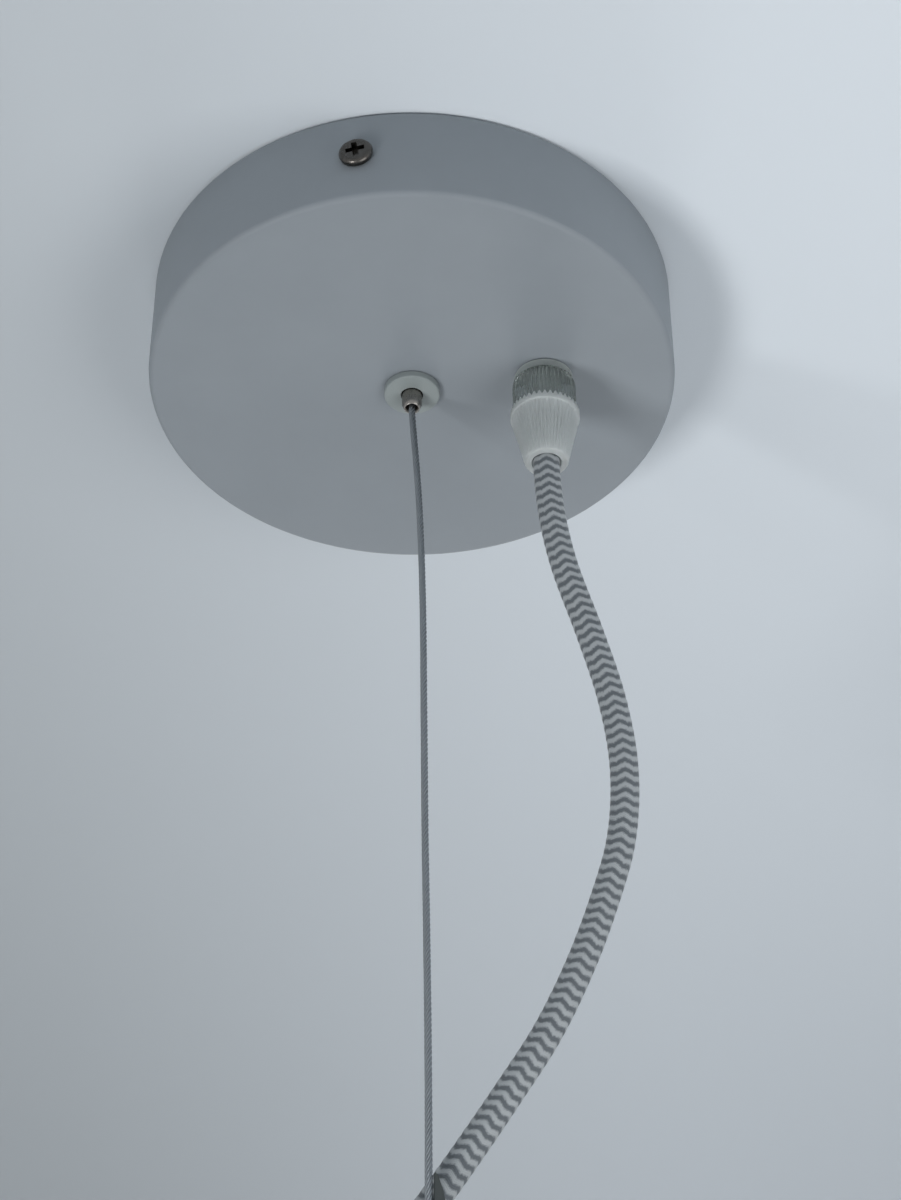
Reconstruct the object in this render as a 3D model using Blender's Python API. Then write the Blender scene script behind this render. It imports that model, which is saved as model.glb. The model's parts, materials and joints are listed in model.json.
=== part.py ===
"""Ceiling canopy of a pendant lamp, with its suspension wire and textile flex.

The origin is on the ceiling plane, on the canopy's axis, with +Z up. Sizes below are millimetres and are
turned into metres where the meshes are made. The flex, the wire and what hangs on them are laid out in the
hang frame, which is the same frame turned about Z by HANG_TURN.
"""
import math

import bmesh
import bpy
from mathutils import Matrix, Vector

MM = 0.001

# Gaps
CLEARANCE = 0.3
RUNNING_GAP = 0.15
CEILING_GAP = 0.4
WELD = 0.002

# Canopy
CANOPY_RADIUS = 60.0
CANOPY_HEIGHT = 26.0
CANOPY_WALL = 1.2
CANOPY_EDGE = 1.4
CANOPY_SIDES = 72

# Mounting bracket
BRACKET_WIDTH = 16.0
BRACKET_THICK = 1.5
BRACKET_BEND = 2.6
TAB_MARGIN = 6.0
SLOT_LENGTH = 14.0
SLOT_WIDTH = 4.6
SLOT_PITCH = 84.0

# Side screws, which hold the canopy to the bracket's tabs
SIDE_SCREW_DROP = 13.0
SIDE_SCREW_DIA = 4.0
SIDE_SCREW_LENGTH = 9.0
SIDE_HEAD_DIA = 7.7
SIDE_HEAD_HEIGHT = 2.5
RECESS_SPAN = 4.4
RECESS_WIDTH = 1.0
RECESS_DEPTH = 1.4

# Wire gripper at the centre
WIRE_DIA = 1.5
GRIPPER_THREAD_DIA = 10.0
FLANGE_DIA = 12.9
FLANGE_THICK = 1.4
FLANGE_EDGE = 0.9
GUIDE_RISE = 2.6
CONE_SLOPE = 0.12
BALL_DIA = 2.2
BALL_COUNT = 3
FOLLOWER_THICK = 0.8
SPRING_LENGTH = 5.8
SPRING_WIRE_DIA = 0.5
SPRING_TURNS = 5
SPRING_POINTS = 10
PLUG_DEPTH = 1.7
GRIPPER_CAP_THICK = 2.0
PLUNGER_DIA = 4.3
PLUNGER_END_DIA = 3.7
PLUNGER_BORE = 2.4
PLUNGER_MOUTH = 3.0
PLUNGER_REACH = 5.2
SHOULDER_THICK = 1.0
WASHER_DIA = 17.0
WASHER_THICK = 0.8
NUT_FLATS = 14.0
NUT_HEIGHT = 3.5

# Cord grip
GRIP_RADIUS = 30.2
GRIP_AZIMUTH = math.radians(3.6)
GRIP_THREAD_DIA = 10.0
GRIP_SHANK_RISE = 8.0
GRIP_LIP_DIA = 13.3
GRIP_LIP_HEIGHT = 2.3
GRIP_COLLAR_DIA = 14.3
GRIP_COLLAR_HEIGHT = 7.3
GRIP_BAND_DIA = 13.7
GRIP_BAND_HEIGHT = 2.4
GRIP_STUB_DIA = 11.2
GRIP_STUB_LENGTH = 5.5
GRIP_BORE = 7.0
RIB_COUNT = 48
RIB_DEPTH = 0.4
CAP_CROWN_DIA = 15.7
CAP_CROWN_HEIGHT = 2.4
CAP_SHOULDER_DIA = 14.9
CAP_WAIST_DIA = 13.4
CAP_END_DIA = 9.8
CAP_LENGTH = 13.4
CAP_SOCKET_DEPTH = 7.6
CAP_END_WALL = 1.8
COLLET_RIM = 1.6
COLLET_WALL = 0.7
COLLET_SLIT = 0.8
LOCKNUT_FLATS = 14.0
LOCKNUT_HEIGHT = 4.0

# Flex
CABLE_DIA = 6.0
CORE_DIA = 2.2
CORE_RING = 1.45
SLEEVE_WALL = 0.6
SLEEVE_LENGTH = 5.5
SLEEVE_OVERHANG = 0.6
FERRULE_DIA = 2.0

# Terminal block
BLOCK_OFFSET = 20.6
BLOCK_LENGTH = 20.0
BLOCK_BASE = 3.0
POLE_PITCH = 12.0
POLE_DROP = 8.0
POLE_WALL = 1.5
INSERT_DIA = 4.8
INSERT_BORE = 3.2
INSERT_LENGTH = 17.0
TOWER_DIA = 6.4
TOWER_DROP = 15.0
TOWER_PITCH = 10.0
CLAMP_SHANK_DIA = 2.4
CLAMP_HEAD_DIA = 3.8
CLAMP_HEAD_HEIGHT = 2.0
FIX_SHANK_DIA = 2.5
FIX_HEAD_DIA = 4.5
FIX_HEAD_HEIGHT = 1.8

# Earth terminal
EARTH_OFFSET = -18.0
EARTH_SHANK_DIA = 4.0
EARTH_HEAD_DIA = 7.4
EARTH_HEAD_HEIGHT = 2.4
LUG_DIA = 8.0
LUG_THICK = 0.8
LUG_BARREL_DIA = 3.4
LUG_REACH = 9.0
LUG_NECK = 4.0

# Hanging parts
HANG_TURN = math.radians(10.6)
WIRE_TAIL = 24.0
WIRE_TAIL_Z = -4.8
TAIL_CAP_DIA = 2.8
TAIL_CAP_LENGTH = 5.0
WIRE_END_U = 4.0
STRAND_STEP = 2.2
EYE_Z = -260.0
EYE_HALF_WIDTH = 5.5
EYE_HEIGHT = 13.5
CRIMP_LENGTH = 9.0
CRIMP_WALL = 1.0
CLIP_Z = -226.0
CLIP_LENGTH = 6.0
CLIP_WALL = 1.3
CLIP_CABLE_V = 5.0
CLIP_HEIGHT = 8.5
COIL_INNER = 28.0
COIL_PITCH = 6.6
COIL_TURNS = 5 + 1 / 12
COIL_START = math.radians(150)
COIL_POINTS = 24
COIL_TAIL = 22.0
TIE_RADIUS = 7.2
TIE_THICK = 1.0
TIE_WIDTH = 5.0
LAMP_CORE_LENGTH = 26.0
LAMP_FERRULE_LENGTH = 8.0

# Levels that several pieces share
FACE_Z = -CANOPY_HEIGHT
FLOOR_Z = FACE_Z + CANOPY_WALL
TAB_DROP = SIDE_SCREW_DROP + TAB_MARGIN
TAB_FACE = math.sqrt((CANOPY_RADIUS - CANOPY_WALL - CLEARANCE) ** 2 - (BRACKET_WIDTH / 2) ** 2)
CABLE_BORE = CABLE_DIA / 2 + CLEARANCE
WIRE_BORE = WIRE_DIA / 2 + CLEARANCE
GRIP_X = GRIP_RADIUS * math.cos(GRIP_AZIMUTH)
GRIP_Y = GRIP_RADIUS * math.sin(GRIP_AZIMUTH)
GRIP_U = GRIP_RADIUS * math.cos(GRIP_AZIMUTH - HANG_TURN)
GRIP_V = GRIP_RADIUS * math.sin(GRIP_AZIMUTH - HANG_TURN)
COLLAR_TOP = FACE_Z - CLEARANCE - GRIP_LIP_HEIGHT
BAND_TOP = COLLAR_TOP - GRIP_COLLAR_HEIGHT
STUB_TOP = BAND_TOP - GRIP_BAND_HEIGHT
STUB_END = STUB_TOP - GRIP_STUB_LENGTH
SHANK_TOP = FACE_Z + GRIP_SHANK_RISE
CAP_TOP = STUB_TOP - CLEARANCE
CAP_END = CAP_TOP - CAP_LENGTH
SLEEVE_BASE = SHANK_TOP + CLEARANCE
SLEEVE_TOP = SLEEVE_BASE + SLEEVE_LENGTH
CABLE_TOP = SLEEVE_TOP - SLEEVE_OVERHANG
CHAMBER_FLOOR = FACE_Z + GUIDE_RISE
SHOULDER_BASE = CHAMBER_FLOOR + CLEARANCE
BALL_Z = SHOULDER_BASE + SHOULDER_THICK + RUNNING_GAP + BALL_DIA / 2
BALL_RING = WIRE_DIA / 2 + RUNNING_GAP + BALL_DIA / 2
FOLLOWER_BASE = BALL_Z + BALL_DIA / 2 + RUNNING_GAP
SPRING_BASE = FOLLOWER_BASE + FOLLOWER_THICK
PLUG_BASE = SPRING_BASE + SPRING_LENGTH
BARREL_TOP = PLUG_BASE + PLUG_DEPTH
POLE_Z = -BRACKET_THICK - POLE_DROP
LUG_TOP = -BRACKET_THICK - CLEARANCE
EYE_U = WIRE_END_U + STRAND_STEP / 2
CRIMP_BASE = EYE_Z + EYE_HEIGHT

# Colour, roughness, metallic and transmission of each material
FINISHES = {
    "powder_coat": ((0.23, 0.26, 0.28), 0.55, 0.0, 0.0),
    "zinc_steel": ((0.45, 0.46, 0.48), 0.40, 1.0, 0.0),
    "nickel": ((0.42, 0.40, 0.38), 0.30, 1.0, 0.0),
    "brass": ((0.62, 0.45, 0.18), 0.35, 1.0, 0.0),
    "wire_rope": ((0.22, 0.24, 0.26), 0.45, 1.0, 0.0),
    "clear_plastic": ((0.75, 0.78, 0.78), 0.18, 0.0, 0.8),
    "frosted_plastic": ((0.72, 0.74, 0.74), 0.45, 0.0, 0.4),
    "white_plastic": ((0.78, 0.78, 0.75), 0.45, 0.0, 0.0),
    "dark_plastic": ((0.05, 0.055, 0.055), 0.50, 0.0, 0.0),
    "textile_braid": ((0.42, 0.45, 0.47), 0.90, 0.0, 0.0),
    "brown_insulation": ((0.16, 0.06, 0.03), 0.40, 0.0, 0.0),
    "blue_insulation": ((0.03, 0.10, 0.40), 0.40, 0.0, 0.0),
    "green_yellow_insulation": ((0.25, 0.45, 0.06), 0.40, 0.0, 0.0),
    "tinned_copper": ((0.60, 0.58, 0.56), 0.35, 1.0, 0.0),
}


def clear_scene():
    """Remove whatever objects the file holds."""
    for item in list(bpy.data.objects):
        bpy.data.objects.remove(item, do_unlink=True)


def finish(name):
    """Return the named Principled material, made once."""
    found = bpy.data.materials.get(name)
    if found:
        return found
    colour, roughness, metallic, transmission = FINISHES[name]
    made = bpy.data.materials.new(name)
    made.use_nodes = True
    shader = made.node_tree.nodes["Principled BSDF"]
    shader.inputs["Base Color"].default_value = (*colour, 1.0)
    shader.inputs["Roughness"].default_value = roughness
    shader.inputs["Metallic"].default_value = metallic
    shader.inputs["Transmission Weight"].default_value = transmission
    return made


def link(name, data, material, parent=None):
    """Make an object of a mesh or curve, with its material and parent."""
    item = bpy.data.objects.new(name, data)
    bpy.context.scene.collection.objects.link(item)
    if material:
        data.materials.append(finish(material))
    item.parent = parent
    return item


def frame(name, x=0.0, y=0.0, turn=0.0):
    """Make an empty that carries pieces laid out round its own Z axis."""
    empty = bpy.data.objects.new(name, None)
    empty.location = (x * MM, y * MM, 0.0)
    empty.rotation_euler = (0.0, 0.0, turn)
    bpy.context.scene.collection.objects.link(empty)
    return empty


def mesh_of(name, bm, smooth_angle=35.0):
    """Turn a bmesh in millimetres into a closed mesh in metres, smooth but for its sharp edges."""
    bmesh.ops.recalc_face_normals(bm, faces=bm.faces)
    bmesh.ops.scale(bm, vec=(MM, MM, MM), verts=bm.verts)
    mesh = bpy.data.meshes.new(name)
    bm.to_mesh(mesh)
    bm.free()
    mesh.shade_smooth()
    mesh.set_sharp_from_angle(angle=math.radians(smooth_angle))
    return mesh


def turned(profile, sides, rib_depth=0.0):
    """Turn a profile round Z.

    The profile is a list of (radius, z) or (radius, z, True) points. A point on the axis closes an end, a
    profile that never meets the axis is closed on itself, and a point marked True is cut into ribs.
    """
    bm = bmesh.new()
    rings = []
    for radius, z, *ribbed in profile:
        if radius == 0.0:
            rings.append([bm.verts.new((0.0, 0.0, z))])
            continue
        ring = []
        for side in range(sides):
            angle = 2 * math.pi * side / sides
            reach = radius - (rib_depth if ribbed and side % 2 else 0.0)
            ring.append(bm.verts.new((reach * math.cos(angle), reach * math.sin(angle), z)))
        rings.append(ring)
    open_profile = profile[0][0] == 0.0
    pairs = list(zip(rings, rings[1:])) if open_profile else list(zip(rings, rings[1:] + rings[:1]))
    for first, second in pairs:
        for side in range(sides):
            after = (side + 1) % sides
            if len(first) == 1:
                bm.faces.new((first[0], second[side], second[after]))
            elif len(second) == 1:
                bm.faces.new((first[side], first[after], second[0]))
            else:
                bm.faces.new((first[side], first[after], second[after], second[side]))
    return bm


def prism(outline, low, high):
    """Extrude an XY outline between two levels."""
    bm = bmesh.new()
    base = bm.faces.new([bm.verts.new((x, y, low)) for x, y in outline])
    grown = bmesh.ops.extrude_face_region(bm, geom=[base])
    top = [part for part in grown["geom"] if isinstance(part, bmesh.types.BMVert)]
    bmesh.ops.translate(bm, verts=top, vec=(0.0, 0.0, high - low))
    return bm


def ring_prism(outer, inner, low, high):
    """Extrude the band between two outlines that have as many points as each other."""
    bm = bmesh.new()
    loops = []
    for outline, level in ((outer, low), (outer, high), (inner, high), (inner, low)):
        loops.append([bm.verts.new((x, y, level)) for x, y in outline])
    for first, second in zip(loops, loops[1:] + loops[:1]):
        for index in range(len(outer)):
            after = (index + 1) % len(outer)
            bm.faces.new((first[index], first[after], second[after], second[index]))
    return bm


def box(low, high):
    """Make a box between two corners."""
    (x0, y0, z0), (x1, y1, z1) = low, high
    return prism([(x0, y0), (x1, y0), (x1, y1), (x0, y1)], z0, z1)


def rod(radius, low, high, sides=20):
    """Make a solid cylinder on Z."""
    return turned([(0.0, low), (radius, low), (radius, high), (0.0, high)], sides)


def stadium(radius, half_run, steps=8):
    """Outline of a slot along Y: two half circles of one radius whose centres are half_run off."""
    points = []
    for centre, start in ((half_run, 0.0), (-half_run, math.pi)):
        for step in range(steps + 1):
            angle = start + math.pi * step / steps
            points.append((radius * math.cos(angle), centre + radius * math.sin(angle)))
    return points


def moved(bm, matrix):
    """Apply a matrix to a bmesh and return it."""
    bmesh.ops.transform(bm, matrix=matrix, verts=bm.verts)
    return bm


def along(axis):
    """Matrix that lays a shape made on Z along another direction."""
    return Vector((0, 0, 1)).rotation_difference(Vector(axis)).to_matrix().to_4x4()


def at(x, y, z):
    """Matrix that moves by millimetres."""
    return Matrix.Translation((x, y, z))


def combine(item, shapes, operation, solver):
    """Cut shapes from an object, or join them to it, and keep the result as its mesh."""
    tools = []
    for number, shape in enumerate(shapes):
        tool = link(f"{item.name}_tool_{number}", mesh_of("tool", shape), None)
        tool.hide_render = True
        tool.display_type = "WIRE"
        step = item.modifiers.new("shape", "BOOLEAN")
        step.operation = operation
        step.solver = solver
        step.object = tool
        tools.append(tool)
    depsgraph = bpy.context.evaluated_depsgraph_get()
    result = bpy.data.meshes.new_from_object(item.evaluated_get(depsgraph))
    bm = bmesh.new()
    bm.from_mesh(result)
    bmesh.ops.remove_doubles(bm, verts=bm.verts, dist=WELD * MM)
    bmesh.ops.dissolve_degenerate(bm, edges=bm.edges, dist=WELD * MM)
    bm.to_mesh(result)
    bm.free()
    item.modifiers.clear()
    item.data = result
    for tool in tools:
        bpy.data.objects.remove(tool, do_unlink=True)
    return item


def solid(name, bm, material, parent, cuts=(), joins=(), solver="EXACT"):
    """Make a node from a shape, the shapes joined to it and the shapes cut from it."""
    item = link(name, mesh_of(name, bm), material)
    if joins:
        combine(item, joins, "UNION", solver)
    if cuts:
        combine(item, cuts, "DIFFERENCE", solver)
    item.parent = parent
    return item


def smooth_route(points, spacing):
    """Read points off a smooth curve through the route's own points, about a spacing apart."""
    stops = [Vector(point) for point in points]
    ends = [2 * stops[0] - stops[1], *stops, 2 * stops[-1] - stops[-2]]
    route = []
    for before, start, stop, after in zip(ends, ends[1:], ends[2:], ends[3:]):
        run = (stop - start).length
        lead = (stop - before) * (run / max((stop - start).length + (start - before).length, 1e-9))
        tail = (after - start) * (run / max((after - stop).length + (stop - start).length, 1e-9))
        steps = max(1, round(run / spacing))
        for step in range(steps):
            t = step / steps
            route.append(
                start * (2 * t ** 3 - 3 * t ** 2 + 1) + lead * (t ** 3 - 2 * t ** 2 + t)
                + stop * (3 * t ** 2 - 2 * t ** 3) + tail * (t ** 3 - t ** 2)
            )
    return [*route, stops[-1]]


def tube(name, points, diameter, material, parent, fineness=2):
    """Make a round tube with filled ends along points."""
    curve = bpy.data.curves.new(name, "CURVE")
    curve.dimensions = "3D"
    curve.bevel_depth = diameter / 2 * MM
    curve.bevel_resolution = fineness
    curve.use_fill_caps = True
    spline = curve.splines.new("POLY")
    spline.points.add(len(points) - 1)
    for knot, point in zip(spline.points, points):
        knot.co = (*(Vector(point) * MM), 1.0)
    return link(name, curve, material, parent)


def length_of(points):
    """Length of a run of points."""
    return sum((Vector(b) - Vector(a)).length for a, b in zip(points, points[1:]))


def least_gap(points, diameter, skip):
    """Least gap of a wound tube to itself, leaving out neighbours along it."""
    spots = [Vector(point) for point in points]
    nearest = min(
        (spots[j] - spots[i]).length
        for i in range(len(spots)) for j in range(i + skip, len(spots))
    )
    return nearest - diameter


def arc(centre_r, centre_z, radius, start, stop, steps=4):
    """Points of a rounded corner in a turned profile, from one angle to another in degrees."""
    points = []
    for step in range(steps + 1):
        angle = math.radians(start + (stop - start) * step / steps)
        points.append((centre_r + radius * math.cos(angle), centre_z + radius * math.sin(angle)))
    return points


def hexagon(flats):
    """Outline of a hexagon with 24 points, so that it pairs with a round hole."""
    points = []
    for step in range(24):
        angle = math.radians(15 * step)
        reach = flats / 2 / math.cos(math.radians(15 * step % 60 - 30))
        points.append((reach * math.cos(angle), reach * math.sin(angle)))
    return points


def circle(radius, sides=24):
    """Outline of a circle."""
    angles = [2 * math.pi * side / sides for side in range(sides)]
    return [(radius * math.cos(angle), radius * math.sin(angle)) for angle in angles]


def cross_recess(span, width, depth):
    """Cutters of a cross recess, sunk from z = 0 along -Z and narrowing as it goes down."""
    blades = []
    for turn in (0.0, math.pi / 2):
        top = [(-span / 2, -width / 2), (span / 2, -width / 2), (span / 2, width / 2), (-span / 2, width / 2)]
        blade = prism(top, -depth, CLEARANCE)
        for corner in blade.verts:
            if corner.co.z < -depth / 2:
                corner.co.x *= 0.35
        blades.append(moved(blade, Matrix.Rotation(turn, 4, "Z")))
    return blades


def pan_head(head_dia, head_height, shank_dia, length):
    """Profile of a pan-head screw: its head above z = 0, its shank below."""
    crown = arc(head_dia / 2 - head_height * 0.7, head_height * 0.3, head_height * 0.7, 0, 90, 4)
    shank = shank_dia / 2
    tip = shank * 0.7
    return [
        (0.0, head_height), *reversed(crown), (head_dia / 2, 0.0), (shank, 0.0),
        (shank, tip - length), (tip, -length), (0.0, -length),
    ]


def make_canopy(axis):
    """Shallow cup with a rounded lower edge, a hole for each fitting and two holes for the side screws."""
    inner = CANOPY_RADIUS - CANOPY_WALL
    edge = arc(CANOPY_RADIUS - CANOPY_EDGE, FACE_Z + CANOPY_EDGE, CANOPY_EDGE, 0, -90)
    bore = GRIPPER_THREAD_DIA / 2 + CLEARANCE
    profile = [
        (CANOPY_RADIUS, -CEILING_GAP), *edge, (bore, FACE_Z), (bore, FLOOR_Z),
        (inner - CANOPY_EDGE / 2, FLOOR_Z), (inner, FLOOR_Z + CANOPY_EDGE / 2), (inner, -CEILING_GAP),
    ]
    past = CANOPY_WALL + CLEARANCE
    grip_hole = rod(GRIP_THREAD_DIA / 2 + CLEARANCE, FACE_Z - past, FLOOR_Z + past, 24)
    screw_hole = SIDE_SCREW_DIA / 2 + CLEARANCE
    side_holes = [
        moved(rod(screw_hole, inner - past, CANOPY_RADIUS + past, 16),
              at(0, 0, -SIDE_SCREW_DROP) @ along((0, side, 0)))
        for side in (-1, 1)
    ]
    cuts = [moved(grip_hole, at(GRIP_X, GRIP_Y, 0)), *side_holes]
    solid("canopy", turned(profile, CANOPY_SIDES), "powder_coat", axis, cuts)


def make_bracket(axis):
    """Folded strip: a flat back with two slots, and a tapped tab turned down at each end."""
    outer = BRACKET_BEND
    inner = BRACKET_BEND - BRACKET_THICK
    half = []
    for step in range(5):
        angle = math.radians(90 * step / 4)
        half.append((TAB_FACE - outer + outer * math.cos(angle), -outer + outer * math.sin(angle)))
    fold_in = []
    for step in range(5):
        angle = math.radians(90 * step / 4)
        fold_in.append((TAB_FACE - outer + inner * math.cos(angle), -outer + inner * math.sin(angle)))
    right_out = [(TAB_FACE, -TAB_DROP), *half]
    right_in = [*reversed(fold_in), (TAB_FACE - BRACKET_THICK, -TAB_DROP)]
    left_out = [(-y, z) for y, z in reversed(right_out)]
    left_in = [(-y, z) for y, z in reversed(right_in)]
    outline = [*right_out, *left_out, *left_in, *right_in]
    strip = prism(outline, -BRACKET_WIDTH / 2, BRACKET_WIDTH / 2)
    upright = Matrix(((0, 0, 1, 0), (1, 0, 0, 0), (0, 1, 0, 0), (0, 0, 0, 1)))
    past = BRACKET_THICK + CLEARANCE
    slot = stadium(SLOT_WIDTH / 2, (SLOT_LENGTH - SLOT_WIDTH) / 2)
    cuts = []
    for side in (-1, 1):
        cuts.append(moved(prism(slot, -past, past), at(0, side * SLOT_PITCH / 2, 0)))
        tap = rod(SIDE_SCREW_DIA / 2 + CLEARANCE, TAB_FACE - 2 * past, TAB_FACE + past, 16)
        cuts.append(moved(tap, at(0, 0, -SIDE_SCREW_DROP) @ along((0, side, 0))))
    cuts.append(moved(rod(FIX_SHANK_DIA / 2 + CLEARANCE, -past, past, 16), at(0, BLOCK_OFFSET, 0)))
    cuts.append(moved(rod(EARTH_SHANK_DIA / 2 + CLEARANCE, -past, past, 16), at(0, EARTH_OFFSET, 0)))
    solid("mounting_bracket", moved(strip, upright), "zinc_steel", axis, cuts, solver="MANIFOLD")


def make_side_screws(axis):
    """Pan-head screws with a cross recess, through the canopy's wall into the bracket's tabs."""
    profile = pan_head(SIDE_HEAD_DIA, SIDE_HEAD_HEIGHT, SIDE_SCREW_DIA, SIDE_SCREW_LENGTH)
    for number, side in ((1, -1), (2, 1)):
        seat = at(0, side * (CANOPY_RADIUS + CLEARANCE), -SIDE_SCREW_DROP) @ along((0, side, 0))
        blades = cross_recess(RECESS_SPAN, RECESS_WIDTH, RECESS_DEPTH)
        turn = seat @ Matrix.Rotation(math.radians(45), 4, "Z")
        cuts = [moved(blade, turn @ at(0, 0, SIDE_HEAD_HEIGHT)) for blade in blades]
        solid(f"side_screw_{number}", moved(turned(profile, 20), seat), "nickel", axis, cuts)


def cone_radius(z):
    """Radius of the gripper's tapered chamber at a level: it narrows downwards on to the balls."""
    return BALL_RING + BALL_DIA / 2 + RUNNING_GAP + CONE_SLOPE * (z - BALL_Z)


def make_gripper(axis):
    """Wire gripper: a flanged barrel, its balls, follower, spring and cap, and what clamps it to the canopy."""
    thread = GRIPPER_THREAD_DIA / 2
    guide = PLUNGER_DIA / 2 + CLEARANCE
    flange_top = FACE_Z - CLEARANCE
    flange_end = flange_top - FLANGE_THICK
    edge = arc(FLANGE_DIA / 2 - FLANGE_EDGE, flange_end + FLANGE_EDGE, FLANGE_EDGE, -90, 0, 3)
    barrel = [
        (guide, flange_end), *edge, (FLANGE_DIA / 2, flange_top), (thread, flange_top), (thread, BARREL_TOP),
        (cone_radius(BARREL_TOP), BARREL_TOP), (cone_radius(CHAMBER_FLOOR), CHAMBER_FLOOR),
        (guide, CHAMBER_FLOOR),
    ]
    solid("gripper_body", turned(barrel, 32), "powder_coat", axis)

    shoulder = cone_radius(SHOULDER_BASE) - RUNNING_GAP
    end = FACE_Z - PLUNGER_REACH
    lip = (PLUNGER_DIA - PLUNGER_END_DIA) / 2
    bore = PLUNGER_BORE / 2
    mouth = PLUNGER_MOUTH / 2
    top = SHOULDER_BASE + SHOULDER_THICK
    sleeve = [
        (mouth, end), (PLUNGER_END_DIA / 2, end), (PLUNGER_DIA / 2, end + 2 * lip),
        (PLUNGER_DIA / 2, SHOULDER_BASE), (shoulder, SHOULDER_BASE), (shoulder, top), (bore, top),
        (bore, end + 2 * (mouth - bore)),
    ]
    solid("release_plunger", turned(sleeve, 32), "nickel", axis)

    for number in range(BALL_COUNT):
        angle = 2 * math.pi * number / BALL_COUNT
        bm = bmesh.new()
        bmesh.ops.create_uvsphere(bm, u_segments=12, v_segments=8, radius=BALL_DIA / 2)
        spot = at(BALL_RING * math.cos(angle), BALL_RING * math.sin(angle), BALL_Z)
        solid(f"gripper_ball_{number + 1}", moved(bm, spot), "zinc_steel", axis)

    ring = ring_prism(circle(cone_radius(FOLLOWER_BASE) - CLEARANCE), circle(WIRE_BORE),
                      FOLLOWER_BASE, FOLLOWER_BASE + FOLLOWER_THICK)
    solid("ball_follower", ring, "brass", axis)

    coil = cone_radius(SPRING_BASE) - CLEARANCE - SPRING_WIRE_DIA / 2
    low = SPRING_BASE + RUNNING_GAP + SPRING_WIRE_DIA / 2
    rise = SPRING_LENGTH - 2 * RUNNING_GAP - SPRING_WIRE_DIA
    count = SPRING_TURNS * SPRING_POINTS
    helix = []
    for step in range(count + 1):
        angle = 2 * math.pi * step / SPRING_POINTS
        helix.append((coil * math.cos(angle), coil * math.sin(angle), low + rise * step / count))
    tube("gripper_spring", helix, SPRING_WIRE_DIA, "zinc_steel", axis, 1)
    print(f"spring least gap {least_gap(helix, SPRING_WIRE_DIA, SPRING_POINTS - 2):.2f} mm")

    plug = cone_radius(PLUG_BASE) - CLEARANCE
    seat = BARREL_TOP + CLEARANCE
    cap = [
        (WIRE_BORE, PLUG_BASE), (plug, PLUG_BASE), (plug, seat), (thread, seat),
        (thread, seat + GRIPPER_CAP_THICK), (WIRE_BORE, seat + GRIPPER_CAP_THICK),
    ]
    solid("gripper_cap", turned(cap, 24), "brass", axis)

    hole = circle(thread + CLEARANCE)
    washer_base = FLOOR_Z + CLEARANCE
    nut_base = washer_base + WASHER_THICK + CLEARANCE
    washer = ring_prism(circle(WASHER_DIA / 2), hole, washer_base, washer_base + WASHER_THICK)
    solid("gripper_washer", washer, "zinc_steel", axis)
    nut = ring_prism(hexagon(NUT_FLATS), hole, nut_base, nut_base + NUT_HEIGHT)
    solid("gripper_nut", nut, "zinc_steel", axis)


def make_cord_grip(axis):
    """Clear cord grip: a ribbed collar on a threaded shank, a split collet and a ribbed clamping cap."""
    thread = GRIP_THREAD_DIA / 2
    bore = GRIP_BORE / 2
    lip = GRIP_LIP_DIA / 2
    collar = GRIP_COLLAR_DIA / 2
    band = GRIP_BAND_DIA / 2
    stub = GRIP_STUB_DIA / 2
    seat = FACE_Z - CLEARANCE
    body = [
        (bore, SHANK_TOP), (thread, SHANK_TOP), (thread, seat), (lip, seat), (lip, COLLAR_TOP),
        (collar, COLLAR_TOP - RIB_DEPTH, True), (collar, BAND_TOP + RIB_DEPTH, True),
        (band, BAND_TOP), (band, STUB_TOP), (stub, STUB_TOP), (stub, STUB_END), (bore, STUB_END),
    ]
    solid("grip_body", turned(body, 2 * RIB_COUNT, RIB_DEPTH), "clear_plastic", axis)

    socket = stub + CLEARANCE
    hole = bore
    socket_end = CAP_TOP - CAP_SOCKET_DEPTH
    cone_end = CAP_END + CAP_END_WALL
    crown = CAP_CROWN_DIA / 2
    crown_end = CAP_TOP - CAP_CROWN_HEIGHT
    waist_z = (crown_end + CAP_END) / 2
    cap = [
        (socket, CAP_TOP), (crown, CAP_TOP, True), (crown, crown_end + RIB_DEPTH, True),
        (CAP_SHOULDER_DIA / 2, crown_end, True), (CAP_WAIST_DIA / 2, waist_z, True),
        (CAP_END_DIA / 2 + RIB_DEPTH, CAP_END + RIB_DEPTH, True), (CAP_END_DIA / 2, CAP_END),
        (hole, CAP_END), (hole, cone_end), (hole + COLLET_WALL, cone_end), (socket, socket_end),
    ]
    solid("grip_cap", turned(cap, 2 * RIB_COUNT, RIB_DEPTH), "frosted_plastic", axis)

    rim_top = STUB_END - CLEARANCE
    rim_end = rim_top - COLLET_RIM
    tip = cone_end + CLEARANCE
    rim = socket - 2 * CLEARANCE
    root = rim - CLEARANCE
    collet = [
        (CABLE_BORE, rim_top), (rim, rim_top), (rim, rim_end), (root, rim_end),
        (CABLE_BORE + COLLET_WALL - CLEARANCE, tip), (CABLE_BORE, tip),
    ]
    slits = []
    for turn in (0.0, math.pi / 2):
        slit = box((-rim, -COLLET_SLIT / 2, tip - CLEARANCE), (rim, COLLET_SLIT / 2, rim_end - CLEARANCE))
        slits.append(moved(slit, Matrix.Rotation(turn, 4, "Z")))
    solid("grip_collet", turned(collet, 32), "white_plastic", axis, slits)

    base = FLOOR_Z + CLEARANCE
    nut = ring_prism(hexagon(LOCKNUT_FLATS), circle(thread + CLEARANCE), base, base + LOCKNUT_HEIGHT)
    solid("grip_locknut", nut, "zinc_steel", axis)

    sleeve = CABLE_BORE + SLEEVE_WALL
    ring = ring_prism(circle(sleeve), circle(CABLE_BORE), SLEEVE_BASE, SLEEVE_TOP)
    solid("inner_sleeve", ring, "dark_plastic", axis)


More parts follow.
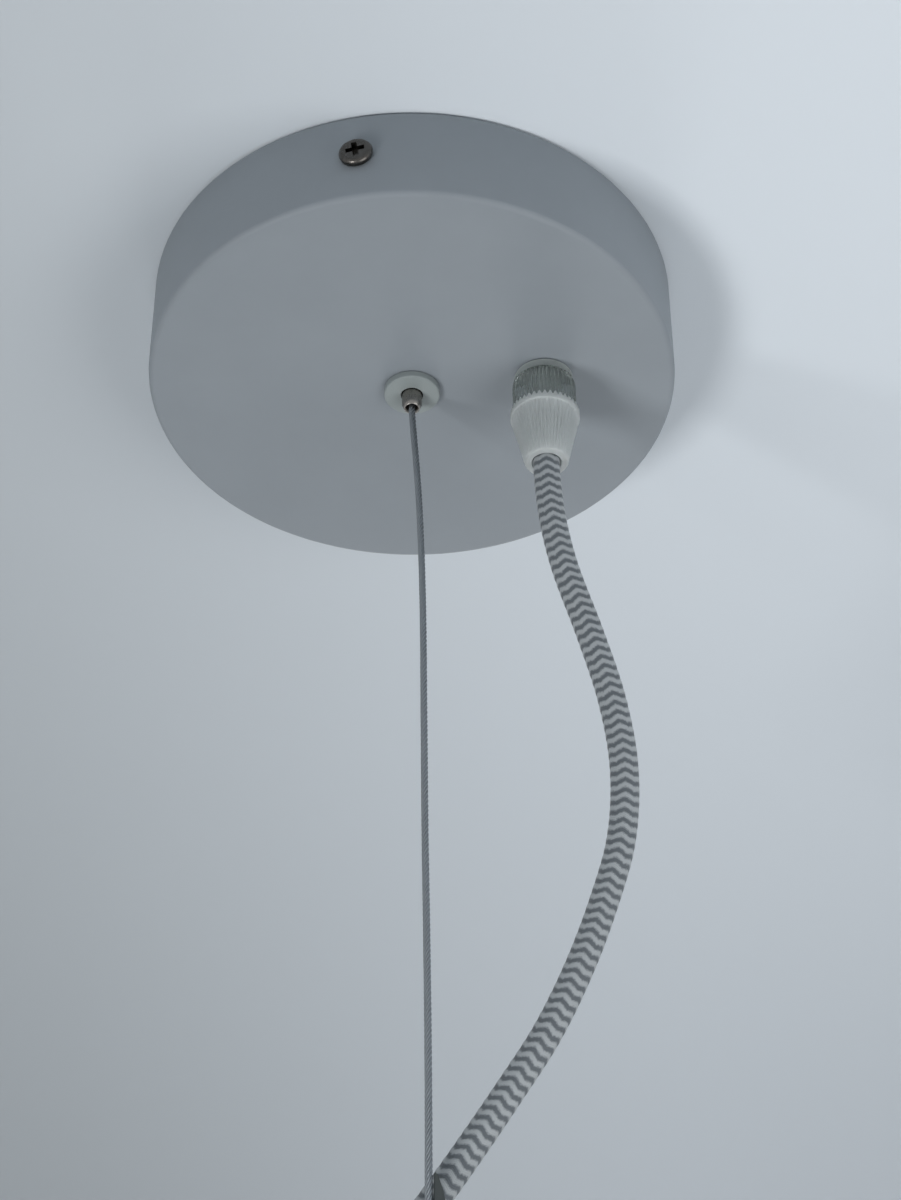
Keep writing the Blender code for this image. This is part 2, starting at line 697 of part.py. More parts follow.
def make_terminal_block(axis):
    """Two-pole terminal block under the bracket: housing, brass inserts, clamp screws and fixing screw."""
    top = -BRACKET_THICK - CLEARANCE
    hump = INSERT_DIA / 2 + CLEARANCE + POLE_WALL
    edge = POLE_PITCH / 2 + hump
    outline = [(-edge, top), (-edge, POLE_Z)]
    for centre in (-POLE_PITCH / 2, POLE_PITCH / 2):
        for step in range(9):
            angle = math.pi * (1 + step / 8)
            outline.append((centre + hump * math.cos(angle), POLE_Z + hump * math.sin(angle)))
        if centre < 0:
            outline += [(centre + hump, top - BLOCK_BASE), (-centre - hump, top - BLOCK_BASE)]
    outline += [(edge, top)]
    tidy = [point for number, point in enumerate(outline) if point != outline[number - 1]]
    lying = Matrix(((0, 0, 1, 0), (1, 0, 0, 0), (0, 1, 0, 0), (0, 0, 0, 1)))
    place = at(0, BLOCK_OFFSET, 0)
    body = moved(prism(tidy, -BLOCK_LENGTH / 2, BLOCK_LENGTH / 2), place @ lying)
    past = BLOCK_LENGTH / 2 + CLEARANCE
    joins, bores, wells = [], [], []
    poles = [(x, y) for y in (-POLE_PITCH / 2, POLE_PITCH / 2) for x in (-TOWER_PITCH / 2, TOWER_PITCH / 2)]
    for x, y in poles:
        joins.append(moved(rod(TOWER_DIA / 2, -TOWER_DROP, POLE_Z, 16), place @ at(x, y, 0)))
        well = rod(CLAMP_HEAD_DIA / 2 + CLEARANCE, -TOWER_DROP - CLEARANCE, POLE_Z, 16)
        wells.append(moved(well, place @ at(x, y, 0)))
    for y in (-POLE_PITCH / 2, POLE_PITCH / 2):
        bore = rod(INSERT_DIA / 2 + CLEARANCE, -past, past, 16)
        bores.append(moved(bore, place @ at(0, y, POLE_Z) @ along((1, 0, 0))))
    head_well = rod(FIX_HEAD_DIA / 2 + CLEARANCE, POLE_Z - hump, top - BLOCK_BASE, 16)
    shank_hole = rod(FIX_SHANK_DIA / 2 + CLEARANCE, top - 2 * BLOCK_BASE, top + CLEARANCE, 16)
    cuts = [*bores, *wells, moved(head_well, place), moved(shank_hole, place)]
    solid("terminal_block", body, "white_plastic", axis, cuts, joins)

    for number, y in ((1, -POLE_PITCH / 2), (2, POLE_PITCH / 2)):
        ring = ring_prism(circle(INSERT_DIA / 2, 16), circle(INSERT_BORE / 2, 16),
                          -INSERT_LENGTH / 2, INSERT_LENGTH / 2)
        taps = [
            moved(rod(CLAMP_SHANK_DIA / 2 + CLEARANCE, -INSERT_DIA, 0, 12), place @ at(x, y, POLE_Z))
            for x in (-TOWER_PITCH / 2, TOWER_PITCH / 2)
        ]
        lay = place @ at(0, y, POLE_Z) @ along((1, 0, 0))
        solid(f"terminal_insert_{number}", moved(ring, lay), "brass", axis, taps)

    head_top = POLE_Z - INSERT_DIA / 2 - CLEARANCE
    tip = POLE_Z - FERRULE_DIA / 2 - CLEARANCE
    screw = [
        (0.0, tip), (CLAMP_SHANK_DIA / 2, tip), (CLAMP_SHANK_DIA / 2, head_top), (CLAMP_HEAD_DIA / 2, head_top),
        (CLAMP_HEAD_DIA / 2, head_top - CLAMP_HEAD_HEIGHT), (0.0, head_top - CLAMP_HEAD_HEIGHT),
    ]
    slot = CLAMP_HEAD_DIA / 2 + CLEARANCE
    end = head_top - CLAMP_HEAD_HEIGHT
    for number, (x, y) in enumerate(poles):
        cutter = box((-slot, -CLEARANCE, end - CLEARANCE), (slot, CLEARANCE, end + CLAMP_HEAD_HEIGHT / 2))
        spot = place @ at(x, y, 0)
        solid(f"terminal_screw_{number + 1}", moved(turned(screw, 12), spot), "zinc_steel", axis,
              [moved(cutter, spot @ Matrix.Rotation(0.6, 4, "Z"))])

    seat = top - BLOCK_BASE - CLEARANCE
    profile = pan_head(FIX_HEAD_DIA, FIX_HEAD_HEIGHT, FIX_SHANK_DIA, -seat - CLEARANCE)
    screw = moved(turned(profile, 16), place @ at(0, 0, seat) @ along((0, 0, -1)))
    solid("block_screw", screw, "zinc_steel", axis)


def make_earth_terminal(axis):
    """Earth screw under the bracket, with its washer and the ring lug of the earth core."""
    place = at(0, EARTH_OFFSET, 0)
    hole = EARTH_SHANK_DIA / 2 + CLEARANCE
    lug_end = LUG_TOP - LUG_THICK
    barrel_z = LUG_TOP - LUG_BARREL_DIA / 2
    plate = rod(LUG_DIA / 2, lug_end, LUG_TOP, 24)
    neck_half = LUG_BARREL_DIA / 2 - CLEARANCE
    neck = box((0, -neck_half, lug_end), (LUG_REACH - LUG_NECK / 2, neck_half, LUG_TOP))
    barrel = moved(rod(LUG_BARREL_DIA / 2, LUG_REACH - LUG_NECK, LUG_REACH, 16),
                   at(0, 0, barrel_z) @ along((1, 0, 0)))
    joins = [moved(neck, place), moved(barrel, place)]
    cut = moved(rod(hole, lug_end - CLEARANCE, LUG_TOP + CLEARANCE, 24), place)
    solid("earth_lug", moved(plate, place), "tinned_copper", axis, [cut], joins)

    washer_top = lug_end - CLEARANCE
    washer = ring_prism(circle(LUG_DIA / 2), circle(hole), washer_top - LUG_THICK, washer_top)
    solid("earth_washer", moved(washer, place), "zinc_steel", axis)

    seat = washer_top - LUG_THICK - CLEARANCE
    profile = pan_head(EARTH_HEAD_DIA, EARTH_HEAD_HEIGHT, EARTH_SHANK_DIA, -seat - CLEARANCE)
    blades = cross_recess(RECESS_SPAN, RECESS_WIDTH, RECESS_DEPTH)
    flip = place @ at(0, 0, seat) @ along((0, 0, -1))
    cuts = [moved(blade, flip @ at(0, 0, EARTH_HEAD_HEIGHT)) for blade in blades]
    solid("earth_screw", moved(turned(profile, 20), flip), "brass", axis, cuts)


def core_start(number, level, x=GRIP_X, y=GRIP_Y):
    """Where one of the three cores leaves the flex's end."""
    angle = math.radians(30 + 120 * number)
    return (x + CORE_RING * math.cos(angle), y + CORE_RING * math.sin(angle), level)


def make_cores(axis):
    """The three cores from the flex's upper end to the terminal block and the earth lug."""
    level = CABLE_TOP + CLEARANCE
    mouth = INSERT_LENGTH / 2 + 2 * CLEARANCE + SLEEVE_WALL
    near = BLOCK_OFFSET - POLE_PITCH / 2
    far = BLOCK_OFFSET + POLE_PITCH / 2
    lug_z = LUG_TOP - LUG_BARREL_DIA / 2
    lug_x = LUG_REACH + CLEARANCE
    routes = {
        "core_neutral": (0, "blue_insulation", [
            (31.5, 3.0, -9.2), (31.2, 6.8, -6.0), (28.5, 14.0, -5.2), (22.5, 22.5, -6.8),
            (16.5, far, POLE_Z), (13.0, far, POLE_Z), (mouth, far, POLE_Z)]),
        "core_live": (1, "brown_insulation", [
            (28.8, 2.9, -9.6), (26.8, 4.6, -6.6), (22.5, 8.6, -6.2), (17.5, 13.0, -8.0),
            (14.0, near, POLE_Z), (12.0, near, POLE_Z), (mouth, near, POLE_Z)]),
        "core_earth": (2, "green_yellow_insulation", [
            (30.1, 0.0, -9.4), (28.6, -4.2, -5.6), (23.5, -11.0, -4.2), (17.0, -16.5, -3.6),
            (12.5, EARTH_OFFSET, lug_z), (lug_x, EARTH_OFFSET, lug_z)]),
    }
    for name, (number, material, points) in routes.items():
        route = smooth_route([core_start(number, level), *points], 2.0 * CORE_DIA)
        tube(name, route, CORE_DIA, material, axis)
    reach = TOWER_PITCH / 2 - FERRULE_DIA
    for name, y in (("ferrule_live", near), ("ferrule_neutral", far)):
        pin = rod(FERRULE_DIA / 2, reach, mouth - CLEARANCE, 12)
        solid(name, moved(pin, at(0, y, POLE_Z) @ along((1, 0, 0))), "tinned_copper", axis)


def make_wire(hang):
    """Suspension wire: from its tail over the gripper, down through it, to the crimped eye below."""
    tail = -WIRE_TAIL
    left = EYE_U - EYE_HALF_WIDTH
    right = EYE_U + EYE_HALF_WIDTH
    back = WIRE_END_U + STRAND_STEP
    route = [
        (tail, 0.0, WIRE_TAIL_Z), (tail / 2, 0.0, WIRE_TAIL_Z), (-4.6, 0.0, WIRE_TAIL_Z),
        (-1.5, 0.0, WIRE_TAIL_Z - 1.2), (-0.1, 0.0, WIRE_TAIL_Z - 4.0), (0.0, 0.0, -12.0), (0.0, 0.0, -20.0),
        (0.0, 0.0, -28.0), (0.05, 0.0, -33.0), (0.55, 0.0, -41.0), (1.3, 0.0, -52.0), (2.0, 0.0, -66.0),
        (2.65, 0.0, -90.0), (2.95, 0.0, -120.0), (3.25, 0.0, -150.0), (3.65, 0.0, -176.0), (3.95, 0.0, -205.0),
        (WIRE_END_U, 0.0, -226.0), (WIRE_END_U, 0.0, CRIMP_BASE + CRIMP_LENGTH),
        (WIRE_END_U, 0.0, CRIMP_BASE + CRIMP_LENGTH / 2), (WIRE_END_U, 0.0, CRIMP_BASE - 0.5),
        (EYE_U - 3.0, 0.0, EYE_Z + 9.4), (left, 0.0, EYE_Z + 5.4), (EYE_U - 4.0, 0.0, EYE_Z + 1.6),
        (EYE_U, 0.0, EYE_Z), (EYE_U + 4.0, 0.0, EYE_Z + 1.6), (right, 0.0, EYE_Z + 5.4),
        (EYE_U + 3.0, 0.0, EYE_Z + 9.4), (back, 0.0, CRIMP_BASE - 0.5), (back, 0.0, CRIMP_BASE + CRIMP_LENGTH / 2),
        (back, 0.0, CRIMP_BASE + CRIMP_LENGTH + 1.2),
    ]
    points = smooth_route(route, 3.0 * WIRE_DIA)
    tube("suspension_wire", points, WIRE_DIA, "wire_rope", hang)
    print(f"wire length {length_of(points):.0f} mm")

    cap = [
        (0.0, 0.0), (TAIL_CAP_DIA / 2, 0.0), (TAIL_CAP_DIA / 2, TAIL_CAP_LENGTH), (WIRE_BORE, TAIL_CAP_LENGTH),
        (WIRE_BORE, 1.0), (0.0, 1.0),
    ]
    lay = at(tail - 1.0 - CLEARANCE, 0, WIRE_TAIL_Z) @ along((1, 0, 0))
    solid("wire_tail_cap", moved(turned(cap, 12), lay), "tinned_copper", hang)

    across = STRAND_STEP / 2
    turn = at(EYE_U, 0, 0) @ Matrix.Rotation(math.pi / 2, 4, "Z")
    crimp = ring_prism(stadium(WIRE_BORE + CRIMP_WALL, across), stadium(WIRE_BORE, across),
                       CRIMP_BASE, CRIMP_BASE + CRIMP_LENGTH)
    solid("wire_ferrule", moved(crimp, turn), "tinned_copper", hang)


def coil_radius(turn):
    """Radius of the coil after a number of turns: it spirals in, then out again."""
    return COIL_INNER + COIL_PITCH * abs(turn - COIL_TURNS / 2)


def tie_strands():
    """Radius of the outermost and innermost strand where the tie goes round the coil, at its top."""
    first = (math.radians(450) - COIL_START) / (2 * math.pi)
    radii = [coil_radius(first + number) for number in range(int(COIL_TURNS - first) + 1)]
    return max(radii), min(radii)


def tie_centres():
    """Radii of the centres of the tie's two round ends, just clear of those strands."""
    reach = TIE_RADIUS - CABLE_DIA / 2 - CLEARANCE
    drop = math.sqrt(reach ** 2 - (COIL_PITCH / 2) ** 2)
    outer, inner = tie_strands()
    return outer - drop, inner + drop


def coil_centre_z():
    """Level of the coil's centre: its tie hangs in the wire's eye."""
    rise = (TIE_WIDTH / 2) ** 2 / (2 * EYE_HALF_WIDTH) + 2 * CLEARANCE
    return EYE_Z + WIRE_DIA / 2 + rise - TIE_RADIUS - tie_centres()[0]


def coil_points():
    """Centre line of the coil: a straight lead, turns in two layers that climb where it reverses, a tail."""
    centre_z = coil_centre_z()
    points = []
    count = round(COIL_TURNS * COIL_POINTS)
    for step in range(count + 1):
        turn = COIL_TURNS * step / count
        angle = COIL_START + 2 * math.pi * turn
        climb = min(max((turn - COIL_TURNS / 2) / 0.5 + 0.5, 0.0), 1.0)
        layer = 1 - 2 * (3 * climb ** 2 - 2 * climb ** 3)
        radius = coil_radius(turn)
        points.append(Vector((EYE_U + radius * math.cos(angle), layer * COIL_PITCH / 2,
                              centre_z + radius * math.sin(angle))))
    heading = (points[0] - points[1]).normalized()
    lead = points[0] + heading * CABLE_DIA
    ending = points[-1] + Vector((0.0, 0.0, -COIL_TAIL))
    return [lead, *points, points[-1] + Vector((0.0, 0.0, -COIL_TAIL / 2)), ending], heading


def make_flex(hang):
    """The flex: from inside the canopy through the grip, past the clip, into the tied coil below."""
    winding, heading = coil_points()
    entry = winding[0]
    route = [
        (GRIP_U, GRIP_V, CABLE_TOP), (GRIP_U, GRIP_V, (CABLE_TOP + FACE_Z) / 2), (GRIP_U, GRIP_V, FACE_Z),
        (GRIP_U, GRIP_V, STUB_TOP), (GRIP_U, GRIP_V, CAP_END), (GRIP_U, GRIP_V, CAP_END - 4.0),
        (30.9, -3.1, -68.0), (33.2, -2.4, -81.0), (37.9, -1.4, -98.0), (41.9, -0.6, -115.0),
        (43.7, 0.2, -131.5), (42.5, 1.1, -148.0), (38.3, 2.0, -163.0), (32.9, 2.8, -177.5), (26.5, 3.5, -191.0),
        (19.1, 4.2, -203.0), (11.7, 4.7, -214.5), (WIRE_END_U, CLIP_CABLE_V, CLIP_Z), (-4.8, 4.9, -239.0),
        (-13.6, 4.5, -252.2), tuple(entry + heading * 2 * CABLE_DIA), tuple(entry + heading * CABLE_DIA),
        tuple(entry + heading * CLEARANCE),
    ]
    points = smooth_route(route, 2.0 * CABLE_DIA)
    tube("cable", points, CABLE_DIA, "textile_braid", hang)
    tube("cable_coil", winding, CABLE_DIA, "textile_braid", hang, 1)
    total = length_of(points) + length_of(winding)
    print(f"cable length {total:.0f} mm, coil {length_of(winding):.0f} mm")
    print(f"coil least gap {least_gap(winding, CABLE_DIA, round(COIL_POINTS / 2)):.2f} mm")

    outer, inner = tie_centres()
    half_run = (outer - inner) / 2
    tie = ring_prism(stadium(TIE_RADIUS + TIE_THICK, half_run), stadium(TIE_RADIUS, half_run),
                     -TIE_WIDTH / 2, TIE_WIDTH / 2)
    upright = Matrix(((0, 0, 1, 0), (1, 0, 0, 0), (0, 1, 0, 0), (0, 0, 0, 1)))
    middle = coil_centre_z() + (outer + inner) / 2
    solid("coil_tie", moved(tie, at(EYE_U, 0, middle) @ upright), "dark_plastic", hang)

    end = winding[-1]
    sleeve_base = end.z - SLEEVE_OVERHANG - CLEARANCE
    ring = ring_prism(circle(CABLE_BORE + SLEEVE_WALL), circle(CABLE_BORE), sleeve_base,
                      sleeve_base + SLEEVE_LENGTH)
    solid("lamp_sleeve", moved(ring, at(end.x, end.y, 0)), "dark_plastic", hang)
    colours = ("blue_insulation", "brown_insulation", "green_yellow_insulation")
    for number, colour in enumerate(colours):
        top = Vector(core_start(number, end.z - CLEARANCE, end.x, end.y))
        spread = (top - end) * Vector((1.0, 1.0, 0.0))
        middle = top + spread * 0.6 - Vector((0.0, 0.0, LAMP_CORE_LENGTH / 2))
        low = top + spread * 1.4 - Vector((0.0, 0.0, LAMP_CORE_LENGTH))
        tube(f"lamp_core_{number + 1}", smooth_route([top, middle, low], 2.0 * CORE_DIA), CORE_DIA, colour, hang)
        slant = (low - middle).normalized()
        pin = rod(FERRULE_DIA / 2, CLEARANCE, LAMP_FERRULE_LENGTH, 12)
        lay = Matrix.Translation(low) @ along(slant)
        solid(f"lamp_ferrule_{number + 1}", moved(pin, lay), "tinned_copper", hang)


def make_clip(hang):
    """Clip that holds the flex against the wire: a ring round each, joined by a web."""
    heading = Vector((-8.3, 0.05, -12.6)).normalized()
    cable_spot = at(WIRE_END_U, CLIP_CABLE_V, CLIP_Z) @ along(heading)
    ring = moved(rod(CABLE_BORE + CLIP_WALL, -CLIP_LENGTH / 2, CLIP_LENGTH / 2, 24), cable_spot)
    wire_wall = WIRE_BORE + CLIP_WALL
    jaw = prism(circle(wire_wall, 16), CLIP_Z - CLIP_HEIGHT / 2, CLIP_Z + CLIP_HEIGHT / 2)
    web = box((WIRE_END_U - CLIP_WALL, 0.0, CLIP_Z - CLIP_LENGTH / 2),
              (WIRE_END_U + CLIP_WALL, CLIP_CABLE_V, CLIP_Z + CLIP_LENGTH / 2))
    long = CLIP_LENGTH + CLIP_HEIGHT
    cable_hole = moved(rod(CABLE_BORE, -long, long, 24), cable_spot)
    wire_hole = moved(rod(WIRE_BORE, CLIP_Z - long, CLIP_Z + long, 16), at(WIRE_END_U, 0, 0))
    solid("cable_clip", ring, "dark_plastic", hang, [cable_hole, wire_hole],
          [moved(jaw, at(WIRE_END_U, 0, 0)), web])


def main():
    """Build every piece in its own frame."""
    clear_scene()
    canopy_axis = frame("canopy_axis")
    grip_axis = frame("grip_axis", GRIP_X, GRIP_Y)
    hang_axis = frame("hang_axis", turn=HANG_TURN)
    make_canopy(canopy_axis)
    make_bracket(canopy_axis)
    make_side_screws(canopy_axis)
    make_gripper(canopy_axis)
    make_cord_grip(grip_axis)
    make_terminal_block(canopy_axis)
    make_earth_terminal(canopy_axis)
    make_cores(canopy_axis)
    make_wire(hang_axis)
    make_flex(hang_axis)
    make_clip(hang_axis)


main()
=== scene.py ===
"""Looks of a pendant lamp's ceiling canopy, with its suspension wire and its textile flex.

Sizes are millimetres in the part's own frame: the origin is on the ceiling plane, on the canopy's axis,
with +Z up. What hangs is laid out in the hang frame, which is that frame turned about Z by HANG.
"""
import json
import logging
from dataclasses import dataclass
from enum import Enum
from math import cos, pi, radians, sin
from typing import Any, ClassVar, Iterable, NamedTuple, Sequence

import bmesh
import bpy
from bmesh.types import BMesh
from bpy.types import Material, Mesh, Node, NodeSocket, NodeTree, Object
from mathutils import Matrix, Vector


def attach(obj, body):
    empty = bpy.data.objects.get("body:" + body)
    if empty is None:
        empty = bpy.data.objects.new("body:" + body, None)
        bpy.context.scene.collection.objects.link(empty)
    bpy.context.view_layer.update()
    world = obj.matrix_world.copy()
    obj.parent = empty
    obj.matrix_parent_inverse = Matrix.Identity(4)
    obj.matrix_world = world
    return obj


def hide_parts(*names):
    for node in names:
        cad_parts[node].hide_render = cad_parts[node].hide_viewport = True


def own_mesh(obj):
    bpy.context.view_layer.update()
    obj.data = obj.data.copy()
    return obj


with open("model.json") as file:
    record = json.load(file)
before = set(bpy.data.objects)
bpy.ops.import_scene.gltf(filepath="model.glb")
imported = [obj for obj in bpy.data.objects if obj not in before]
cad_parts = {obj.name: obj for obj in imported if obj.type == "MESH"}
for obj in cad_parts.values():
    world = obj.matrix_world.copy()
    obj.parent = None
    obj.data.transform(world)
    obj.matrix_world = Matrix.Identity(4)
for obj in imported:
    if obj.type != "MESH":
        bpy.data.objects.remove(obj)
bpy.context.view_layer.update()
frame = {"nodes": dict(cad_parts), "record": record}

LOG = logging.getLogger("canopy")
MM = 0.001
TURN = 2 * pi
HANG = Matrix.Rotation(radians(10.6), 4, "Z")
# Where the cord grip goes through the canopy
GRIP_PLACE = (30.1404, 1.8963)
# How far a cutter goes past what it cuts
PAST = 3.0
MATH, VECTOR, RANGE = "ShaderNodeMath", "ShaderNodeVectorMath", "ShaderNodeMapRange"
NOISE, MIX, BUMP = "ShaderNodeTexNoise", "ShaderNodeMix", "ShaderNodeBump"
Pair = tuple[float, float]
Triple = tuple[float, float, float]
Profile = list[Pair]
Inputs = dict[str | int, Any] | Sequence[Any]


class Body(Enum):
    """The bodies of the part that move against each other."""

    ROOT = "root"
    PLUNGER = "release_plunger"
    CAP = "clamp_cap"


class Join(Enum):
    """Ways to join closed shapes."""

    CUT = "DIFFERENCE"
    FUSE = "UNION"


# Nodes


def linear(colour: str) -> tuple[float, float, float, float]:
    """Turn an sRGB hex colour into linear RGBA.

    Args:
        colour: The colour as "#RRGGBB".

    Returns:
        Red, green, blue and an alpha of 1.
    """
    parts = [int(colour[start:start + 2], 16) / 255 for start in (1, 3, 5)]
    red, green, blue = (p / 12.92 if p <= 0.04045 else ((p + 0.055) / 1.055) ** 2.4 for p in parts)
    return red, green, blue, 1.0


def feed(node: Node, inputs: Inputs) -> None:
    """Set or link a node's inputs.

    Args:
        node: The node.
        inputs: Values, sockets, or nodes that give their first output, in order or by name or number.
    """
    for key, value in (inputs if isinstance(inputs, dict) else dict(enumerate(inputs))).items():
        source = value.outputs[0] if isinstance(value, Node) else value
        if isinstance(source, NodeSocket):
            node.id_data.links.new(source, node.inputs[key])
        else:
            node.inputs[key].default_value = source


def add(tree: NodeTree, kind: str, inputs: Inputs = (), **settings: Any) -> Node:
    """Add a node to a tree.

    Args:
        tree: The tree that gets the node.
        kind: The node's type name.
        inputs: What its inputs get.
        settings: Properties of the node itself.

    Returns:
        The new node.
    """
    node = tree.nodes.new(kind)
    for name, value in settings.items():
        setattr(node, name, value)
    feed(node, inputs)
    return node


def looked_at(tree: NodeTree) -> Node:
    """Add the test of whether a ray shows the studio: straight, in a mirror or through something clear.

    Args:
        tree: The tree that gets the nodes.

    Returns:
        The node that gives one where it does, and else nothing.
    """
    ray = add(tree, "ShaderNodeLightPath").outputs
    by_way = add(tree, MATH, [ray["Is Glossy Ray"], ray["Is Transmission Ray"]], operation="MAXIMUM")
    return add(tree, MATH, [ray["Is Camera Ray"], by_way], operation="MAXIMUM")


def angle_of(tree: NodeTree, spoke: NodeSocket | Node) -> Node:
    """Add the angle of a vector round Z.

    Args:
        tree: The tree that gets the nodes.
        spoke: What gives the vector.

    Returns:
        The node that gives the angle in radians.
    """
    parts = add(tree, "ShaderNodeSeparateXYZ", [spoke])
    return add(tree, MATH, [parts.outputs[1], parts.outputs[0]], operation="ARCTAN2")


def zigzag_bands(tree: NodeTree, angle: Node, along: NodeSocket | Node, pattern: dict[str, Any]) -> Node:
    """Add the count of a braid's bands along a tube, which swing to and fro round it.

    Args:
        tree: The tree that gets the nodes.
        angle: What gives the angle round the tube.
        along: What gives the length along it.
        pattern: Band, Zigzags, Swing and Turn of the braid, as values or sockets.

    Returns:
        The node that gives the count.
    """
    share = add(tree, MATH, [angle, TURN], operation="DIVIDE")
    steps = add(tree, MATH, [share, pattern["Zigzags"], pattern["Turn"]], operation="MULTIPLY_ADD")
    zigzag = add(tree, MATH, [steps, 0.5], operation="PINGPONG")
    whole = add(tree, MATH, [zigzag, 2.0], operation="MULTIPLY")
    shift = add(tree, MATH, [whole, pattern["Swing"], along], operation="MULTIPLY_ADD")
    return add(tree, MATH, [shift, pattern["Band"]], operation="DIVIDE")


# Shapes


def turned(profile: Profile, sides: int) -> BMesh:
    """Turn a closed profile that stays off the axis round Z.

    Args:
        profile: Radius and level of each point, in order round the section.
        sides: Number of steps round the axis.

    Returns:
        A closed shape in millimetres.
    """
    bm = bmesh.new()
    angles = [TURN * side / sides for side in range(sides)]
    rings = [[bm.verts.new((r * cos(a), r * sin(a), z)) for a in angles] for r, z in profile]
    for first, second in zip(rings, rings[1:] + rings[:1]):
        for side in range(sides):
            after = (side + 1) % sides
            bm.faces.new((first[side], first[after], second[after], second[side]))
    return bm


def arc(centre: Pair, radius: float, start: float, stop: float, steps: int) -> Profile:
    """Points of a rounded corner in a profile.

    Args:
        centre: Radius and level of the corner's centre.
        radius: The corner's radius.
        start: First angle in degrees, from outwards.
        stop: Last angle in degrees.
        steps: Number of steps between them.

    Returns:
        The corner's points in order.
    """
    angles = [radians(start + (stop - start) * step / steps) for step in range(steps + 1)]
    return [(centre[0] + radius * cos(a), centre[1] + radius * sin(a)) for a in angles]


def rod(radius: float, low: float, high: float, sides: int) -> BMesh:
    """Make a solid rod on Z.

    Args:
        radius: Its radius.
        low: Level of its lower end.
        high: Level of its upper end.
        sides: Number of its sides.

    Returns:
        The closed shape.
    """
    bm = bmesh.new()
    bmesh.ops.create_cone(bm, cap_ends=True, segments=sides, radius1=radius, radius2=radius, depth=high - low)
    bmesh.ops.translate(bm, verts=bm.verts, vec=(0.0, 0.0, (low + high) / 2))
    return bm


def mesh_from(name: str, bm: BMesh, place: Matrix | None = None) -> Mesh:
    """Turn a shape in millimetres into a mesh in metres with outward faces.

    Args:
        name: Name of the mesh.
        bm: The shape, which is freed.
        place: Where it goes, in millimetres.

    Returns:
        The mesh.
    """
    bmesh.ops.transform(bm, matrix=Matrix.Scale(MM, 4) @ (place or Matrix.Identity(4)), verts=bm.verts)
    bmesh.ops.recalc_face_normals(bm, faces=bm.faces)
    mesh = bpy.data.meshes.new(name)
    bm.to_mesh(mesh)
    bm.free()
    return mesh


def softened(mesh: Mesh, angle: float = 32.0) -> Mesh:
    """Shade a mesh smooth, apart from its sharp edges.

    Args:
        mesh: The mesh.
        angle: An edge is sharp from this angle in degrees.

    Returns:
        The same mesh.
    """
    mesh.shade_smooth()
    mesh.set_sharp_from_angle(angle=radians(angle))
    return mesh


def put(name: str, data: bpy.types.ID) -> Object:
    """Put a mesh, a lamp or a camera into the scene.

    Args:
        name: The new object's name.
        data: What it shows.

    Returns:
        The object.
    """
    item = bpy.data.objects.new(name, data)
    bpy.context.scene.collection.objects.link(item)
    return item


def settled(item: Object, *tools: Object) -> Mesh:
    """Take an object's mesh with its modifiers applied, and clear the object away.

    Args:
        item: The object.
        tools: Other objects that its modifiers use, which go too.

    Returns:
        The final mesh.
    """
    depsgraph = bpy.context.evaluated_depsgraph_get()
    mesh = bpy.data.meshes.new_from_object(
        item.evaluated_get(depsgraph), preserve_all_data_layers=True, depsgraph=depsgraph)
    for used in (item, *tools):
        bpy.data.objects.remove(used, do_unlink=True)
    return mesh


def joined(mesh: Mesh, others: Iterable[Mesh], way: Join = Join.CUT) -> Mesh:
    """Cut shapes out of a mesh, or fuse them with it.

    Args:
        mesh: The mesh to start from.
        others: Closed meshes in the same frame.
        way: How they are joined.

    Returns:
        The new mesh.
    """
    item = put("blank", mesh)
    tools = [put("tool", other) for other in others]
    for tool in tools:
        step = item.modifiers.new("join", "BOOLEAN")
        step.operation = way.value
        step.solver = "EXACT"
        step.object = tool
    return settled(item, *tools)


def smooth_route(points: Sequence[Sequence[float]], spacing: float) -> list[Vector]:
    """Read points off a smooth curve through a route's own points.

    Args:
        points: The route.
        spacing: About how far apart the new points are.

    Returns:
        The new points, from the route's first to its last.
    """
    stops = [Vector(point) for point in points]
    ends = [2 * stops[0] - stops[1], *stops, 2 * stops[-1] - stops[-2]]
    route = []
    for before, start, stop, after in zip(ends, ends[1:], ends[2:], ends[3:]):
        run = (stop - start).length
        lead = (stop - before) * (run / max(run + (start - before).length, 1e-9))
        tail = (after - start) * (run / max(run + (after - stop).length, 1e-9))
        steps = max(1, round(run / spacing))
        for t in (step / steps for step in range(steps)):
            route.append(start * (2 * t ** 3 - 3 * t ** 2 + 1) + lead * (t ** 3 - 2 * t ** 2 + t)
                         + stop * (3 * t ** 2 - 2 * t ** 3) + tail * (t ** 3 - t ** 2))
    return [*route, stops[-1]]


def hung(points: Iterable[Vector]) -> list[Vector]:
    """Turn points of the hang frame in millimetres into points of the part's frame in metres."""
    return [HANG @ (point * MM) for point in points]


def line_mesh(name: str, points: Sequence[Vector]) -> Mesh:
    """Make a mesh of points in metres joined in order by edges.

    Args:
        name: Its name.
        points: The points.

    Returns:
        The mesh, with no faces.
    """
    mesh = bpy.data.meshes.new(name)
    mesh.from_pydata([tuple(p) for p in points], [(i, i + 1) for i in range(len(points) - 1)], [])
    return mesh


def show(name: str, mesh: Mesh, finish: "Finish", body: Body, nodes: Sequence[str]) -> Object:
    """Put a finished piece into the scene.

    Args:
        name: The piece's name.
        mesh: Its mesh, with its place in it.
        finish: Its finish.
        body: The body that it moves with.
        nodes: The solids that it stands for.

    Returns:
        The piece.
    """
    item = put(name, mesh)
    mesh.materials.clear()
    mesh.materials.append(finish.material())
    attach(item, body.value)
    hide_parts(*nodes)
    LOG.info("%s: %d faces on %s", name, len(mesh.polygons), body.value)
    return item


# Finishes


